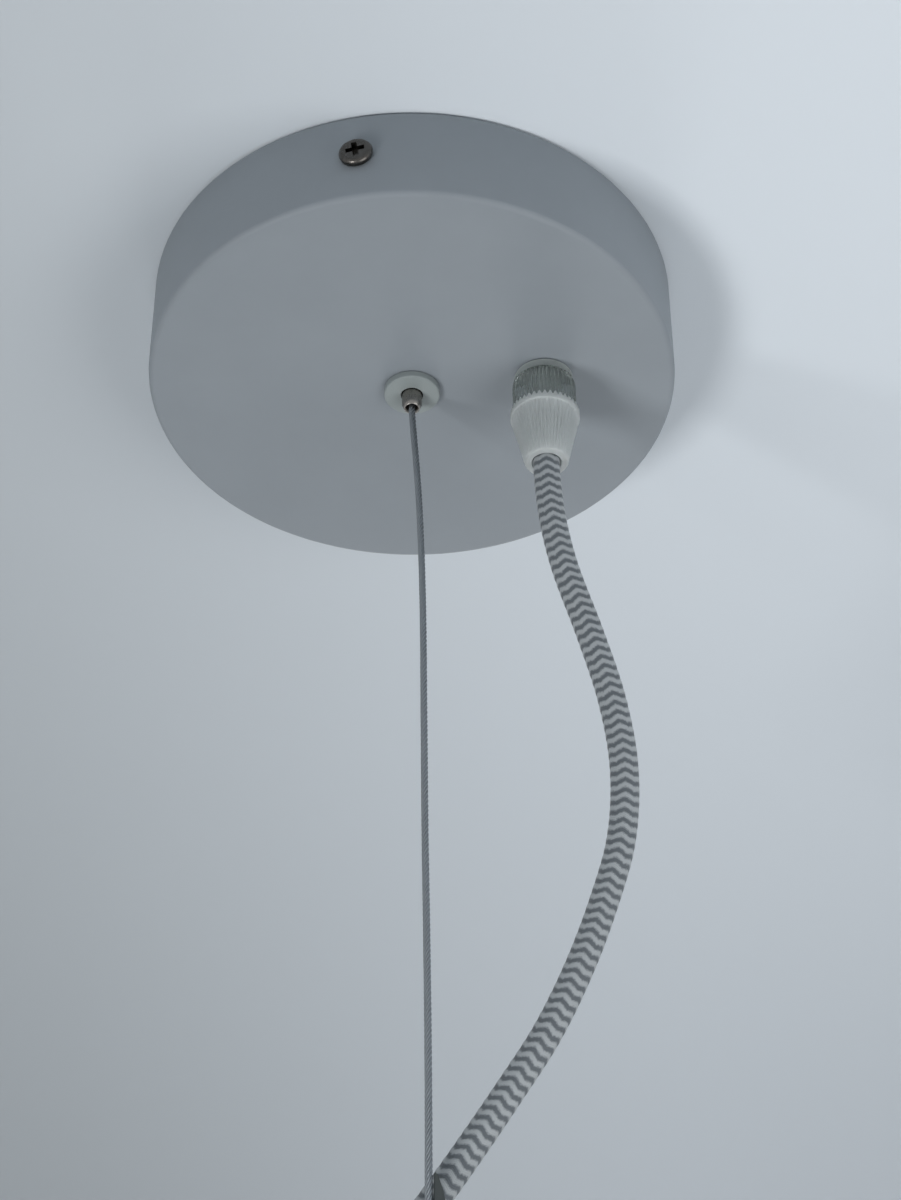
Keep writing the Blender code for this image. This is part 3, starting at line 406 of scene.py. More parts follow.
class Finish:
    """A finish that makes its material once and then gives the same one."""

    name: str
    made: ClassVar[dict[str, Material]] = {}

    def material(self) -> Material:
        """Make the finish's material at its first use.

        Returns:
            The material.
        """
        if self.name not in self.made:
            fresh = bpy.data.materials.new(self.name)
            fresh.use_nodes = True
            self.dress(fresh.node_tree, fresh.node_tree.nodes["Principled BSDF"])
            self.made[self.name] = fresh
        return self.made[self.name]

    def dress(self, tree: NodeTree, shader: Node) -> None:
        """Set up the shader.

        Args:
            tree: The material's tree.
            shader: Its Principled shader.
        """
        raise NotImplementedError


@dataclass(frozen=True)
class Clouded(Finish):
    """A finish with faint clouds in its tone and its gloss, and a fine grain."""

    name: str
    pale: str
    deep: str
    roughness: Pair = (0.36, 0.48)
    cloud: float = 4.0
    grain: float = 0.3
    cloud_noise: ClassVar[dict[str, float]] = {}
    cloud_span: ClassVar[Pair] = (0.0, 1.0)
    grain_detail: ClassVar[float] = 2.0
    # How much the grain is squeezed along Z; below one, it is drawn out
    grain_squeeze: ClassVar[float] = 1.0
    # Strength of the bump and its depth
    relief: ClassVar[Pair] = (0.25, 0.02)

    def plain(self) -> dict[str, float]:
        """Values of the shader that are the same all over."""
        return {}

    def dress(self, tree: NodeTree, shader: Node) -> None:
        """Add clouds in the tone and the gloss, and the grain as bump.

        Args:
            tree: The material's tree.
            shader: Its Principled shader.
        """
        place = add(tree, "ShaderNodeTexCoord").outputs["Object"]
        cloud = add(tree, NOISE, {"Vector": place, "Scale": 1 / (self.cloud * MM), **self.cloud_noise})
        tone = add(tree, MIX, {0: cloud, 6: linear(self.deep), 7: linear(self.pale)}, data_type="RGBA")
        gloss = add(tree, RANGE, {
            "Value": cloud, "From Min": self.cloud_span[0], "From Max": self.cloud_span[1],
            "To Min": self.roughness[0], "To Max": self.roughness[1]})
        drawn = add(tree, "ShaderNodeMapping", {"Vector": place, "Scale": (1.0, 1.0, self.grain_squeeze)})
        grain = add(tree, NOISE, {
            "Vector": drawn, "Scale": 1 / (self.grain * MM), "Detail": self.grain_detail})
        bump = add(tree, BUMP, {"Strength": self.relief[0], "Distance": self.relief[1] * MM, "Height": grain})
        feed(shader, {"Base Color": tone.outputs[2], "Roughness": gloss, "Normal": bump, **self.plain()})


@dataclass(frozen=True)
class PowderCoat(Clouded):
    """Polyester powder coat, baked: matte, with a fine orange peel that breaks up its highlights."""

    roughness: Pair = (0.50, 0.62)
    cloud: float = 22.0
    # A real peel is about 0.4 mm across; it is drawn coarser so that it shows
    grain: float = 0.9
    cloud_noise: ClassVar[dict[str, float]] = {"Detail": 4.0, "Roughness": 0.6}
    relief: ClassVar[Pair] = (0.35, 0.03)

    def plain(self) -> dict[str, float]:
        """A matte coat mirrors little."""
        return {"Specular IOR Level": 0.35}


@dataclass(frozen=True)
class Metal(Clouded):
    """Plated or turned metal: a full reflection, clouded a little, with drawn or turned marks along Z."""

    # Real marks are finer than 0.1 mm and are drawn coarser so that they show
    grain: float = 0.25
    cloud_noise: ClassVar[dict[str, float]] = {"Detail": 5.0, "Roughness": 0.65}
    cloud_span: ClassVar[Pair] = (0.3, 0.7)
    grain_squeeze: ClassVar[float] = 0.12
    relief: ClassVar[Pair] = (0.4, 0.01)

    def plain(self) -> dict[str, float]:
        """A metal reflects in its own colour."""
        return {"Metallic": 1.0}


@dataclass(frozen=True)
class Moulding(Clouded):
    """Moulded plastic: an even colour with a faint flow, a satin skin and the fine grain of the mould."""

    # A mould's grain is about 0.1 mm; it is drawn coarser so that it shows
    grain: float = 0.3
    transmission: float = 0.0
    ior: float = 1.5
    cloud_noise: ClassVar[dict[str, float]] = {"Detail": 3.0, "Distortion": 0.6}
    grain_detail: ClassVar[float] = 1.0

    def plain(self) -> dict[str, float]:
        """How much light goes through the plastic."""
        return {"Transmission Weight": self.transmission, "IOR": self.ior}


@dataclass(frozen=True)
class RibbedClear(Moulding):
    """Clear plastic that is polished on its ribs and frosted where it is plain."""

    plain_roughness: float = 0.52
    plain_transmission: float = 0.55
    # Depth of rib from which the plastic is polished
    polished: float = 0.5

    def dress(self, tree: NodeTree, shader: Node) -> None:
        """Dress the moulding, with its gloss and clearness from the depth of rib that its points carry.

        Args:
            tree: The material's tree.
            shader: Its Principled shader.
        """
        super().dress(tree, shader)
        rib = add(tree, "ShaderNodeAttribute", attribute_name="rib").outputs["Fac"]
        for socket, frosted, clear in (("Roughness", self.plain_roughness, self.roughness[0]),
                                       ("Transmission Weight", self.plain_transmission, self.transmission)):
            feed(shader, {socket: add(tree, RANGE, {
                "Value": rib, "From Max": self.polished, "To Min": frosted, "To Max": clear})})


@dataclass(frozen=True)
class TextileBraid(Finish):
    """Polyester braid over a round flex: grey and white zigzag bands, matte, with the threads in relief."""

    name: str = "polyester_braid"
    white: str = "#AEB3B6"
    grey: str = "#676D72"
    band: float = 2.35
    zigzags: float = 5.0
    swing: float = 0.8
    # Share of a zigzag that the pattern is turned by, so that a peak faces the viewer
    turn: float = 0.39
    # Single threads are about 0.15 mm; bundles of them are drawn
    bundle: float = 0.42
    # How ragged the bands' edges are, and where white ends and grey begins
    fray: float = 0.30
    split: Pair = (0.29, 0.51)

    def pattern(self) -> dict[str, float]:
        """Sizes of the zigzag bands in metres, by the names that a tube's tree gives them."""
        return {"Band": self.band * MM, "Zigzags": self.zigzags, "Swing": self.swing * MM, "Turn": self.turn}

    def dress(self, tree: NodeTree, shader: Node) -> None:
        """Add bands from the length and the angle that the tube's points carry, and bundles as bump.

        Args:
            tree: The material's tree.
            shader: Its Principled shader.
        """
        along = add(tree, "ShaderNodeAttribute", attribute_name="along").outputs["Fac"]
        angle = angle_of(tree, add(tree, "ShaderNodeAttribute", attribute_name="ring").outputs["Vector"])
        bands = zigzag_bands(tree, angle, along, self.pattern())
        wave = add(tree, MATH, [bands, 0.5], operation="PINGPONG")
        fray = add(tree, NOISE, {
            "Vector": add(tree, "ShaderNodeTexCoord").outputs["Object"], "Scale": 1 / (self.bundle * MM)})
        ragged = add(tree, MATH, [fray, self.fray, wave], operation="MULTIPLY_ADD")
        split = add(tree, RANGE, {"Value": ragged, "From Min": self.split[0], "From Max": self.split[1]})
        tone = add(tree, MIX, {0: split, 6: linear(self.white), 7: linear(self.grey)}, data_type="RGBA")
        threads = add(tree, MATH, [bands, self.band / self.bundle], operation="MULTIPLY")
        bundle = add(tree, MATH, [threads, 0.5], operation="PINGPONG")
        height = add(tree, MATH, [bundle, 0.8, ragged], operation="MULTIPLY_ADD")
        bump = add(tree, BUMP, {"Strength": 0.8, "Distance": 0.12 * MM, "Height": height})
        feed(shader, {"Base Color": tone.outputs[2], "Normal": bump, "Roughness": 0.85,
                      "Specular IOR Level": 0.2, "Sheen Weight": 0.15, "Sheen Roughness": 0.5})


@dataclass(frozen=True)
class Insulation(Finish):
    """Extruded PVC round a copper core: satin, with faint drag marks and stripes of a second colour."""

    name: str
    base: str
    stripe: str
    share: float
    stripes: float = 2.0
    # Width of the stripe's soft edge, as a share of its spacing
    edge: float = 0.02
    roughness: Pair = (0.3, 0.5)

    def dress(self, tree: NodeTree, shader: Node) -> None:
        """Add stripes from the angle that the tube's points carry, and drag marks as bump.

        Args:
            tree: The material's tree.
            shader: Its Principled shader.
        """
        along = add(tree, "ShaderNodeAttribute", attribute_name="along").outputs["Fac"]
        angle = angle_of(tree, add(tree, "ShaderNodeAttribute", attribute_name="ring").outputs["Vector"])
        steps = add(tree, MATH, [angle, self.stripes / TURN], operation="MULTIPLY")
        wave = add(tree, MATH, [steps, 0.5], operation="PINGPONG")
        start = 0.5 - self.share / 2
        split = add(tree, RANGE, {"Value": wave, "From Min": start, "From Max": start + self.edge})
        tone = add(tree, MIX, {0: split, 6: linear(self.base), 7: linear(self.stripe)}, data_type="RGBA")
        drag = add(tree, "ShaderNodeCombineXYZ", [angle, along])
        marks = add(tree, NOISE, {"Vector": drag, "Scale": 9.0, "Detail": 3.0})
        gloss = add(tree, RANGE, {"Value": marks, "To Min": self.roughness[0], "To Max": self.roughness[1]})
        bump = add(tree, BUMP, {"Strength": 0.3, "Distance": 0.02 * MM, "Height": marks})
        feed(shader, {"Base Color": tone.outputs[2], "Roughness": gloss, "Normal": bump})


@dataclass(frozen=True)
class PaintedCeiling(Finish):
    """Emulsion on plaster: dead matte, with a roller's faint stipple and a painted light fade. Seen from
    behind, it isn't there.
    """

    name: str = "painted_ceiling"
    # Painted light: the ceiling's tone where it is lit most, and where it is lit least
    pale: str = "#E0E7ED"
    deep: str = "#BDC3C7"
    # Painted light, across and away from the viewer, per metre: the ceiling is painted paler at the right and
    # near the viewer, where more light falls, and deeper where less does
    painted_light_slope: Pair = (1.15, -0.04)
    painted_light_fade: Pair = (-0.24, 0.11)
    stipple: float = 1.6

    def dress(self, tree: NodeTree, shader: Node) -> None:
        """Add a painted light fade over the ceiling, paler where more light falls, and the stipple as bump,
        and leave out the back.

        Args:
            tree: The material's tree.
            shader: Its Principled shader.
        """
        place = add(tree, "ShaderNodeTexCoord").outputs["Object"]
        # Painted light: the tone runs from deep to pale across the ceiling, standing in for light that falls
        # brighter at the right and near the viewer
        painted_light_slope = HANG @ Vector((*self.painted_light_slope, 0.0))
        run = add(tree, VECTOR, [place, painted_light_slope], operation="DOT_PRODUCT").outputs["Value"]
        painted_light_fade = add(tree, RANGE, {"Value": run, "From Min": self.painted_light_fade[0], "From Max": self.painted_light_fade[1]},
                   interpolation_type="SMOOTHSTEP")
        tone = add(tree, MIX, {0: painted_light_fade, 6: linear(self.deep), 7: linear(self.pale)}, data_type="RGBA")
        stipple = add(tree, NOISE, {"Vector": place, "Scale": 1 / (self.stipple * MM)})
        bump = add(tree, BUMP, {"Strength": 0.15, "Distance": 0.05 * MM, "Height": stipple})
        feed(shader, {
            "Base Color": tone.outputs[2], "Normal": bump, "Roughness": 0.9, "Specular IOR Level": 0.1})
        back = add(tree, "ShaderNodeNewGeometry").outputs["Backfacing"]
        clear = add(tree, "ShaderNodeBsdfTransparent")
        feed(tree.nodes["Material Output"], {
            "Surface": add(tree, "ShaderNodeMixShader", [back, shader, clear])})


@dataclass(frozen=True)
class StudioFloor(Finish):
    """A pale seamless floor that looks as bright as it is written, and lights nothing."""

    name: str = "pale_floor"
    pale: str = "#DDE0E3"
    deep: str = "#D8DBDE"
    cloud: float = 400.0

    def dress(self, tree: NodeTree, shader: Node) -> None:
        """Make a faintly clouded matte floor that glows only where it is seen, mirrored or seen through.

        Args:
            tree: The material's tree.
            shader: Its Principled shader.
        """
        place = add(tree, "ShaderNodeTexCoord").outputs["Object"]
        cloud = add(tree, NOISE, {"Vector": place, "Scale": 1 / (self.cloud * MM), "Detail": 3.0})
        tone = add(tree, MIX, {0: cloud, 6: linear(self.deep), 7: linear(self.pale)}, data_type="RGBA")
        feed(shader, {"Base Color": tone.outputs[2], "Roughness": 0.8})
        glow = add(tree, "ShaderNodeEmission", {"Color": tone.outputs[2]})
        feed(tree.nodes["Material Output"], {
            "Surface": add(tree, "ShaderNodeMixShader", [looked_at(tree), shader, glow])})


POWDER_COAT = PowderCoat("powder_coat_on_steel", "#92999F", "#899096")
FLANGE_COAT = PowderCoat("powder_coat_on_brass", "#959D9D", "#8E9696")
ZINC = Metal("zinc_plated_steel", "#C3C5C8", "#A9ACB1", (0.28, 0.46), 5.0)
NICKEL = Metal("nickel_plated_brass", "#9A9792", "#807D79", (0.22, 0.36), 2.0)
SCREW_NICKEL = Metal("dark_nickel_plated_steel", "#625F5C", "#484643", (0.22, 0.36), 1.5)
BRASS = Metal("turned_brass", "#D6BC7E", "#C0A263", (0.24, 0.40), 4.0)
ROPE_STEEL = Metal("stainless_rope", "#A3A8AC", "#878C90", (0.36, 0.50), 1.2)
TINNED = Metal("tin_plated_copper", "#CFCDCA", "#B5B3B1", (0.30, 0.48), 2.0)
CLEAR = RibbedClear("clear_polycarbonate", "#D3DAD8", "#C6CDCB", (0.12, 0.22), 3.0, 0.6, 0.93, 1.58)
FROSTED = Moulding("frosted_polypropylene", "#E3E8E8", "#DBE0E0", (0.34, 0.46), 3.0, 0.25, 0.52, 1.49)
WHITE_NYLON = Moulding("white_nylon", "#E6E6E1", "#DADAD4")
BLACK_NYLON = Moulding("black_nylon", "#4A4F4F", "#3B403F", (0.42, 0.58))
BRAID = TextileBraid()
BROWN_PVC = Insulation("brown_pvc", "#6B4330", "#5E3A2A", 0.3)
BLUE_PVC = Insulation("blue_pvc", "#2B57A8", "#25509C", 0.3)
EARTH_PVC = Insulation("green_yellow_pvc", "#3E8A3F", "#DCC63A", 0.5)
CEILING = PaintedCeiling()
FLOOR = StudioFloor()

# The finish of each material slot in the record
SLOT_FINISHES: dict[str, Finish] = {
    "powder_coat": POWDER_COAT, "zinc_steel": ZINC, "nickel": NICKEL, "brass": BRASS, "wire_rope": ROPE_STEEL,
    "clear_plastic": CLEAR, "frosted_plastic": FROSTED, "white_plastic": WHITE_NYLON,
    "dark_plastic": BLACK_NYLON, "textile_braid": BRAID, "brown_insulation": BROWN_PVC,
    "blue_insulation": BLUE_PVC, "green_yellow_insulation": EARTH_PVC, "tinned_copper": TINNED,
}
# Slots of the flex's cores, in order round it
CORE_SLOTS = ("blue_insulation", "brown_insulation", "green_yellow_insulation")


# Geometry trees


class Socket(Enum):
    """Kinds of input that a geometry tree takes."""

    COUNT = "NodeSocketInt"
    SIZE = "NodeSocketFloat"
    FINISH = "NodeSocketMaterial"
    PIECE = "NodeSocketObject"
    SHAPE = "NodeSocketGeometry"


class ShapeTree:
    """A geometry tree with named inputs, which turns a base mesh into a plain mesh."""

    def __init__(self, name: str, inputs: dict[str, Socket]) -> None:
        """Start the tree.

        Args:
            name: Its name.
            inputs: The kind of each input, by its name.
        """
        self.tree = bpy.data.node_groups.new(name, "GeometryNodeTree")
        face = self.tree.interface
        for label, kind in {"Base": Socket.SHAPE, **inputs, "Finish": Socket.FINISH}.items():
            face.new_socket(label, in_out="INPUT", socket_type=kind.value)
        face.new_socket("Shape", in_out="OUTPUT", socket_type=Socket.SHAPE.value)
        self.start = add(self.tree, "NodeGroupInput")

    def given(self, label: str) -> NodeSocket:
        """Return one of the tree's inputs as a socket to link from."""
        return self.start.outputs[label]

    def path(self) -> Node:
        """Add the base's line as a curve with even steps."""
        line = add(self.tree, "GeometryNodeMeshToCurve", [self.given("Base")])
        return add(self.tree, "GeometryNodeResampleCurve", {"Curve": line, "Length": self.given("Step")},
                   mode="LENGTH")

    def close(self, shape: Node) -> None:
        """End the tree: the shape is realized and gets its material.

        Args:
            shape: The node that gives the shape.
        """
        real = add(self.tree, "GeometryNodeRealizeInstances", [shape])
        dressed = add(self.tree, "GeometryNodeSetMaterial", {
            "Geometry": real, "Material": self.given("Finish")})
        add(self.tree, "NodeGroupOutput", [dressed])

    def grow(self, base: Mesh, finish: Finish, values: dict[str, Any]) -> Mesh:
        """Run the tree on a base mesh.

        Args:
            base: The mesh that it starts from.
            finish: The finish that its shape gets.
            values: The other inputs, by name.

        Returns:
            The result as a plain mesh.
        """
        item = put(base.name, base)
        step = item.modifiers.new("shape", "NODES")
        step.node_group = self.tree
        wanted = {"Finish": finish.material(), **values}
        for socket in self.tree.interface.items_tree:
            if socket.in_out == "INPUT" and socket.name in wanted:
                step[socket.identifier] = wanted[socket.name]
        return settled(item)


class RopeTree(ShapeTree):
    """Strands laid in a helix round a core, along the base's line."""

    def __init__(self) -> None:
        """Build the tree."""
        super().__init__("laid_rope", {
            "Strands": Socket.COUNT, "Strand": Socket.SIZE, "Lay Radius": Socket.SIZE,
            "Lay Length": Socket.SIZE, "Step": Socket.SIZE})
        tree = self.tree
        path = self.path()
        copies = add(tree, "GeometryNodeDuplicateElements", {
            "Geometry": path, "Amount": self.given("Strands")}, domain="SPLINE")
        length = add(tree, "GeometryNodeSplineParameter").outputs["Length"]
        turns = add(tree, MATH, [length, self.given("Lay Length")], operation="DIVIDE")
        share = add(tree, MATH, [copies.outputs["Duplicate Index"], self.given("Strands")],
                    operation="DIVIDE")
        phase = add(tree, MATH, [turns, share], operation="ADD")
        angle = add(tree, MATH, [phase, TURN], operation="MULTIPLY")
        across = add(tree, MATH, [angle], operation="COSINE")
        beside = add(tree, MATH, [angle], operation="SINE")
        normal = add(tree, "GeometryNodeInputNormal")
        tangent = add(tree, "GeometryNodeInputTangent")
        binormal = add(tree, VECTOR, [tangent, normal], operation="CROSS_PRODUCT")
        first = add(tree, VECTOR, {0: normal, "Scale": across}, operation="SCALE")
        second = add(tree, VECTOR, {0: binormal, "Scale": beside}, operation="SCALE")
        spoke = add(tree, VECTOR, [first, second], operation="ADD")
        offset = add(tree, VECTOR, {0: spoke, "Scale": self.given("Lay Radius")}, operation="SCALE")
        laid = add(tree, "GeometryNodeSetPosition", {"Geometry": copies, "Offset": offset})
        radius = add(tree, MATH, [self.given("Strand"), 0.5], operation="MULTIPLY")
        section = add(tree, "GeometryNodeCurvePrimitiveCircle", {"Resolution": 8, "Radius": radius})
        both = add(tree, "GeometryNodeJoinGeometry", [path])
        feed(both, [laid])
        strands = add(tree, "GeometryNodeCurveToMesh", {
            "Curve": both, "Profile Curve": section, "Fill Caps": True})
        self.close(add(tree, "GeometryNodeSetShadeSmooth", {"Geometry": strands}))


class TubeTree(ShapeTree):
    """A round tube along the base's line, whose points carry their length and their place round the ring.

    A zigzag relief, as deep as its input says, stands for the bands of a braid.
    """

    # Inputs of a tube with no relief
    PLAIN: ClassVar[dict[str, float]] = {
        "Relief": 0.0, "Band": 1.0, "Zigzags": 1.0, "Swing": 0.0, "Turn": 0.0}

    def __init__(self) -> None:
        """Build the tree."""
        super().__init__("round_tube", {
            "Sides": Socket.COUNT, "Diameter": Socket.SIZE, "Step": Socket.SIZE,
            **{label: Socket.SIZE for label in self.PLAIN}})
        tree = self.tree
        marked = add(tree, "GeometryNodeStoreNamedAttribute", {
            "Geometry": self.path(), "Name": "along",
            "Value": add(tree, "GeometryNodeSplineParameter").outputs["Length"]},
            data_type="FLOAT", domain="POINT")
        radius = add(tree, MATH, [self.given("Diameter"), 0.5], operation="MULTIPLY")
        circle = add(tree, "GeometryNodeCurvePrimitiveCircle", {
            "Resolution": self.given("Sides"), "Radius": radius})
        spoke = add(tree, VECTOR, [add(tree, "GeometryNodeInputPosition")], operation="NORMALIZE")
        section = add(tree, "GeometryNodeStoreNamedAttribute", {
            "Geometry": circle, "Name": "ring", "Value": spoke}, data_type="FLOAT_VECTOR", domain="POINT")
        tube = add(tree, "GeometryNodeCurveToMesh", {
            "Curve": marked, "Profile Curve": section, "Fill Caps": True})
        along = add(tree, "GeometryNodeInputNamedAttribute", {"Name": "along"}, data_type="FLOAT")
        ring = add(tree, "GeometryNodeInputNamedAttribute", {"Name": "ring"}, data_type="FLOAT_VECTOR")
        bands = zigzag_bands(tree, angle_of(tree, ring), along, self.start.outputs)
        wave = add(tree, MATH, [bands, 0.5], operation="PINGPONG")
        sunk = add(tree, MATH, [wave, self.given("Relief")], operation="MULTIPLY")
        depth = add(tree, MATH, [sunk, -2.0], operation="MULTIPLY")
        normal = add(tree, "GeometryNodeInputNormal")
        inwards = add(tree, VECTOR, {0: normal, "Scale": depth}, operation="SCALE")
        raised = add(tree, "GeometryNodeSetPosition", {"Geometry": tube, "Offset": inwards})
        self.close(add(tree, "GeometryNodeSetShadeSmooth", {"Geometry": raised}))


class RibTree(ShapeTree):
    """Ribs and teeth round the Z axis of a turned base, as deep as each point's attributes say."""

    def __init__(self) -> None:
        """Build the tree."""
        super().__init__("moulded_ribs", {
            "Ribs": Socket.COUNT, "Depth": Socket.SIZE, "Teeth": Socket.COUNT, "Tooth": Socket.SIZE})
        tree = self.tree
        place = add(tree, "GeometryNodeInputPosition")
        flat = add(tree, VECTOR, [place, (1.0, 1.0, 0.0)], operation="MULTIPLY")
        spoke = add(tree, VECTOR, [flat], operation="NORMALIZE")
        inwards = add(tree, VECTOR, {0: spoke, "Scale": self.sunk(place, "Ribs", "rib", "Depth")},
                      operation="SCALE")
        down = add(tree, "ShaderNodeCombineXYZ", {2: self.sunk(place, "Teeth", "tooth", "Tooth")})
        offset = add(tree, VECTOR, [inwards, down], operation="ADD")
        self.close(add(tree, "GeometryNodeSetPosition", {"Geometry": self.given("Base"), "Offset": offset}))

    def sunk(self, place: Node, count: str, share: str, depth: str) -> Node:
        """Add a wave round the axis that goes down from nothing.

        Args:
            place: What gives the points' positions.
            count: The input with the number of waves.
            share: The attribute that scales the wave.
            depth: The input with the wave's depth.

        Returns:
            The node that gives the shift, nothing at a crest and less than nothing elsewhere.
        """
        tree = self.tree
        turn = add(tree, MATH, [angle_of(tree, place), self.given(count)], operation="MULTIPLY")
        wave = add(tree, MATH, [turn], operation="COSINE")
        groove = add(tree, MATH, [wave, 0.5, -0.5], operation="MULTIPLY_ADD")
        scale = add(tree, "GeometryNodeInputNamedAttribute", {"Name": share}, data_type="FLOAT")
        shaped = add(tree, MATH, [groove, scale], operation="MULTIPLY")
        return add(tree, MATH, [shaped, self.given(depth)], operation="MULTIPLY")


class ScrewTree(ShapeTree):
    """A screw at each of the base's points, facing away from the Z axis."""

    def __init__(self) -> None:
        """Build the tree."""
        super().__init__("wall_screws", {"Screw": Socket.PIECE})
        tree = self.tree
        shape = add(tree, "GeometryNodeObjectInfo", {"Object": self.given("Screw")}).outputs["Geometry"]
        flat = add(tree, VECTOR, [add(tree, "GeometryNodeInputPosition"), (1.0, 1.0, 0.0)],
                   operation="MULTIPLY")
        facing = add(tree, "FunctionNodeAlignRotationToVector", {"Vector": flat}, axis="Z")
        self.close(add(tree, "GeometryNodeInstanceOnPoints", {
            "Points": self.given("Base"), "Instance": shape, "Rotation": facing}))


# The part


@dataclass
class Cup:
    """The canopy's cup and the two screws in its wall."""

    radius: float = 60.0
    face: float = -26.0
    wall: float = 1.2
    edge: float = 1.4
    rim: float = -0.4
    rim_round: float = 0.35
    # Rings that divide the face, as shares of the radius
    face_rings: tuple[float, ...] = (0.75, 0.45, 0.2)
    floor_ring: float = 0.45
    centre_hole: float = 5.3
    grip_hole: float = 5.3
    sides: int = 240
    screw_drop: float = 13.0
    screw_hole: float = 2.3
    screw_seat: float = 60.3
    head_dia: float = 7.5
    head_height: float = 1.75
    head_edge: float = 1.0
    head_dome: float = 0.06
    head_foot: float = 0.15
    shank_dia: float = 4.0
    shank_length: float = 9.0
    shank_point: float = 1.3
    recess_span: float = 4.9
    recess_width: float = 1.25
    # Depth of each blade of the cross; they differ so that no two faces lie in one plane
    recess_depths: Pair = (1.6, 1.664)
    recess_turn: float = 8.0
    # Share of its span that a blade keeps at its end
    recess_taper: float = 0.7

    def build(self) -> list[Object]:
        """Build the cup and its screws."""
        return [self.make_cup(), self.make_screws()]

    def make_cup(self) -> Object:
        """Turn the cup, with a rounded edge and rim, and cut its holes.

        Returns:
            The cup.
        """
        inner = self.radius - self.wall
        floor = self.face + self.wall
        small, soft = self.rim_round, self.edge / 2
        profile = [
            *arc((self.radius - small, self.rim - small), small, 90, 0, 4),
            *arc((self.radius - self.edge, self.face + self.edge), self.edge, 0, -90, 10),
            *((self.radius * share, self.face) for share in self.face_rings),
            (self.centre_hole, self.face), (self.centre_hole, floor), (self.radius * self.floor_ring, floor),
            *arc((inner - soft, floor + soft), soft, -90, 0, 5),
            *arc((inner + small, self.rim - small), small, 180, 90, 4),
        ]
        cutters = [mesh_from("grip_hole", rod(self.grip_hole, self.face - PAST, floor + PAST, 64),
                             Matrix.Translation((*GRIP_PLACE, 0.0)))]
        for side in (-1, 1):
            lay = Matrix.Translation((0.0, 0.0, -self.screw_drop)) @ Matrix.Rotation(-side * TURN / 4, 4, "X")
            drill = rod(self.screw_hole, inner - PAST, self.radius + PAST, 32)
            cutters.append(mesh_from("screw_hole", drill, lay))
        mesh = joined(mesh_from("canopy_cup", turned(profile, self.sides)), cutters)
        return show("canopy_cup", softened(mesh), POWDER_COAT, Body.ROOT, ["canopy"])

    def blade(self, depth: float, turn: float) -> Mesh:
        """Make the cutter of one slot of the cross recess, narrower at its end.

        Args:
            depth: How deep it goes.
            turn: Its angle round the screw in degrees.

        Returns:
            The cutter.
        """
        bm = bmesh.new()
        bmesh.ops.create_cube(bm, size=1.0)
        for corner in bm.verts:
            x, y, z = corner.co
            span = self.recess_span * (self.recess_taper if z < 0 else 1.0)
            corner.co = (x * span, y * self.recess_width, self.head_height + z * 2 * depth)
        return mesh_from("recess", bm, Matrix.Rotation(radians(turn), 4, "Z"))

    def make_screws(self) -> Object:
        """Make one pan-head screw with a cross recess and set it at both places in the wall.

        Returns:
            Both screws as one piece.
        """
        bm = bmesh.new()
        head, shank, length = self.head_dia / 2, self.shank_dia / 2, self.shank_length
        crown = arc((head - self.head_edge, self.head_height - self.head_edge), self.head_edge, 0, 90, 9)
        section = [(0.0, self.head_height + self.head_dome), *reversed(crown), (head - self.head_foot, 0.0),
                   (shank, 0.0), (shank, self.shank_point - length), (shank - self.shank_point, -length),
                   (0.0, -length)]
        line = [bm.verts.new((r, 0.0, z)) for r, z in section]
        edges = [bm.edges.new(pair) for pair in zip(line, line[1:])]
        bmesh.ops.spin(bm, geom=[*line, *edges], cent=(0, 0, 0), axis=(0, 0, 1), angle=TURN, steps=48)
        bmesh.ops.remove_doubles(bm, verts=bm.verts, dist=0.001)
        blades = [self.blade(depth, self.recess_turn + 90 * number)
                  for number, depth in enumerate(self.recess_depths)]
        master = put("screw", softened(joined(mesh_from("screw", bm), blades)))
        seats = bpy.data.meshes.new("wall_screws")
        out, down = self.screw_seat * MM, -self.screw_drop * MM
        seats.from_pydata([(0.0, -out, down), (0.0, out, down)], [], [])
        mesh = ScrewTree().grow(seats, SCREW_NICKEL, {"Screw": master})
        bpy.data.objects.remove(master, do_unlink=True)
        return show("wall_screws", mesh, SCREW_NICKEL, Body.ROOT, ["side_screw_1", "side_screw_2"])


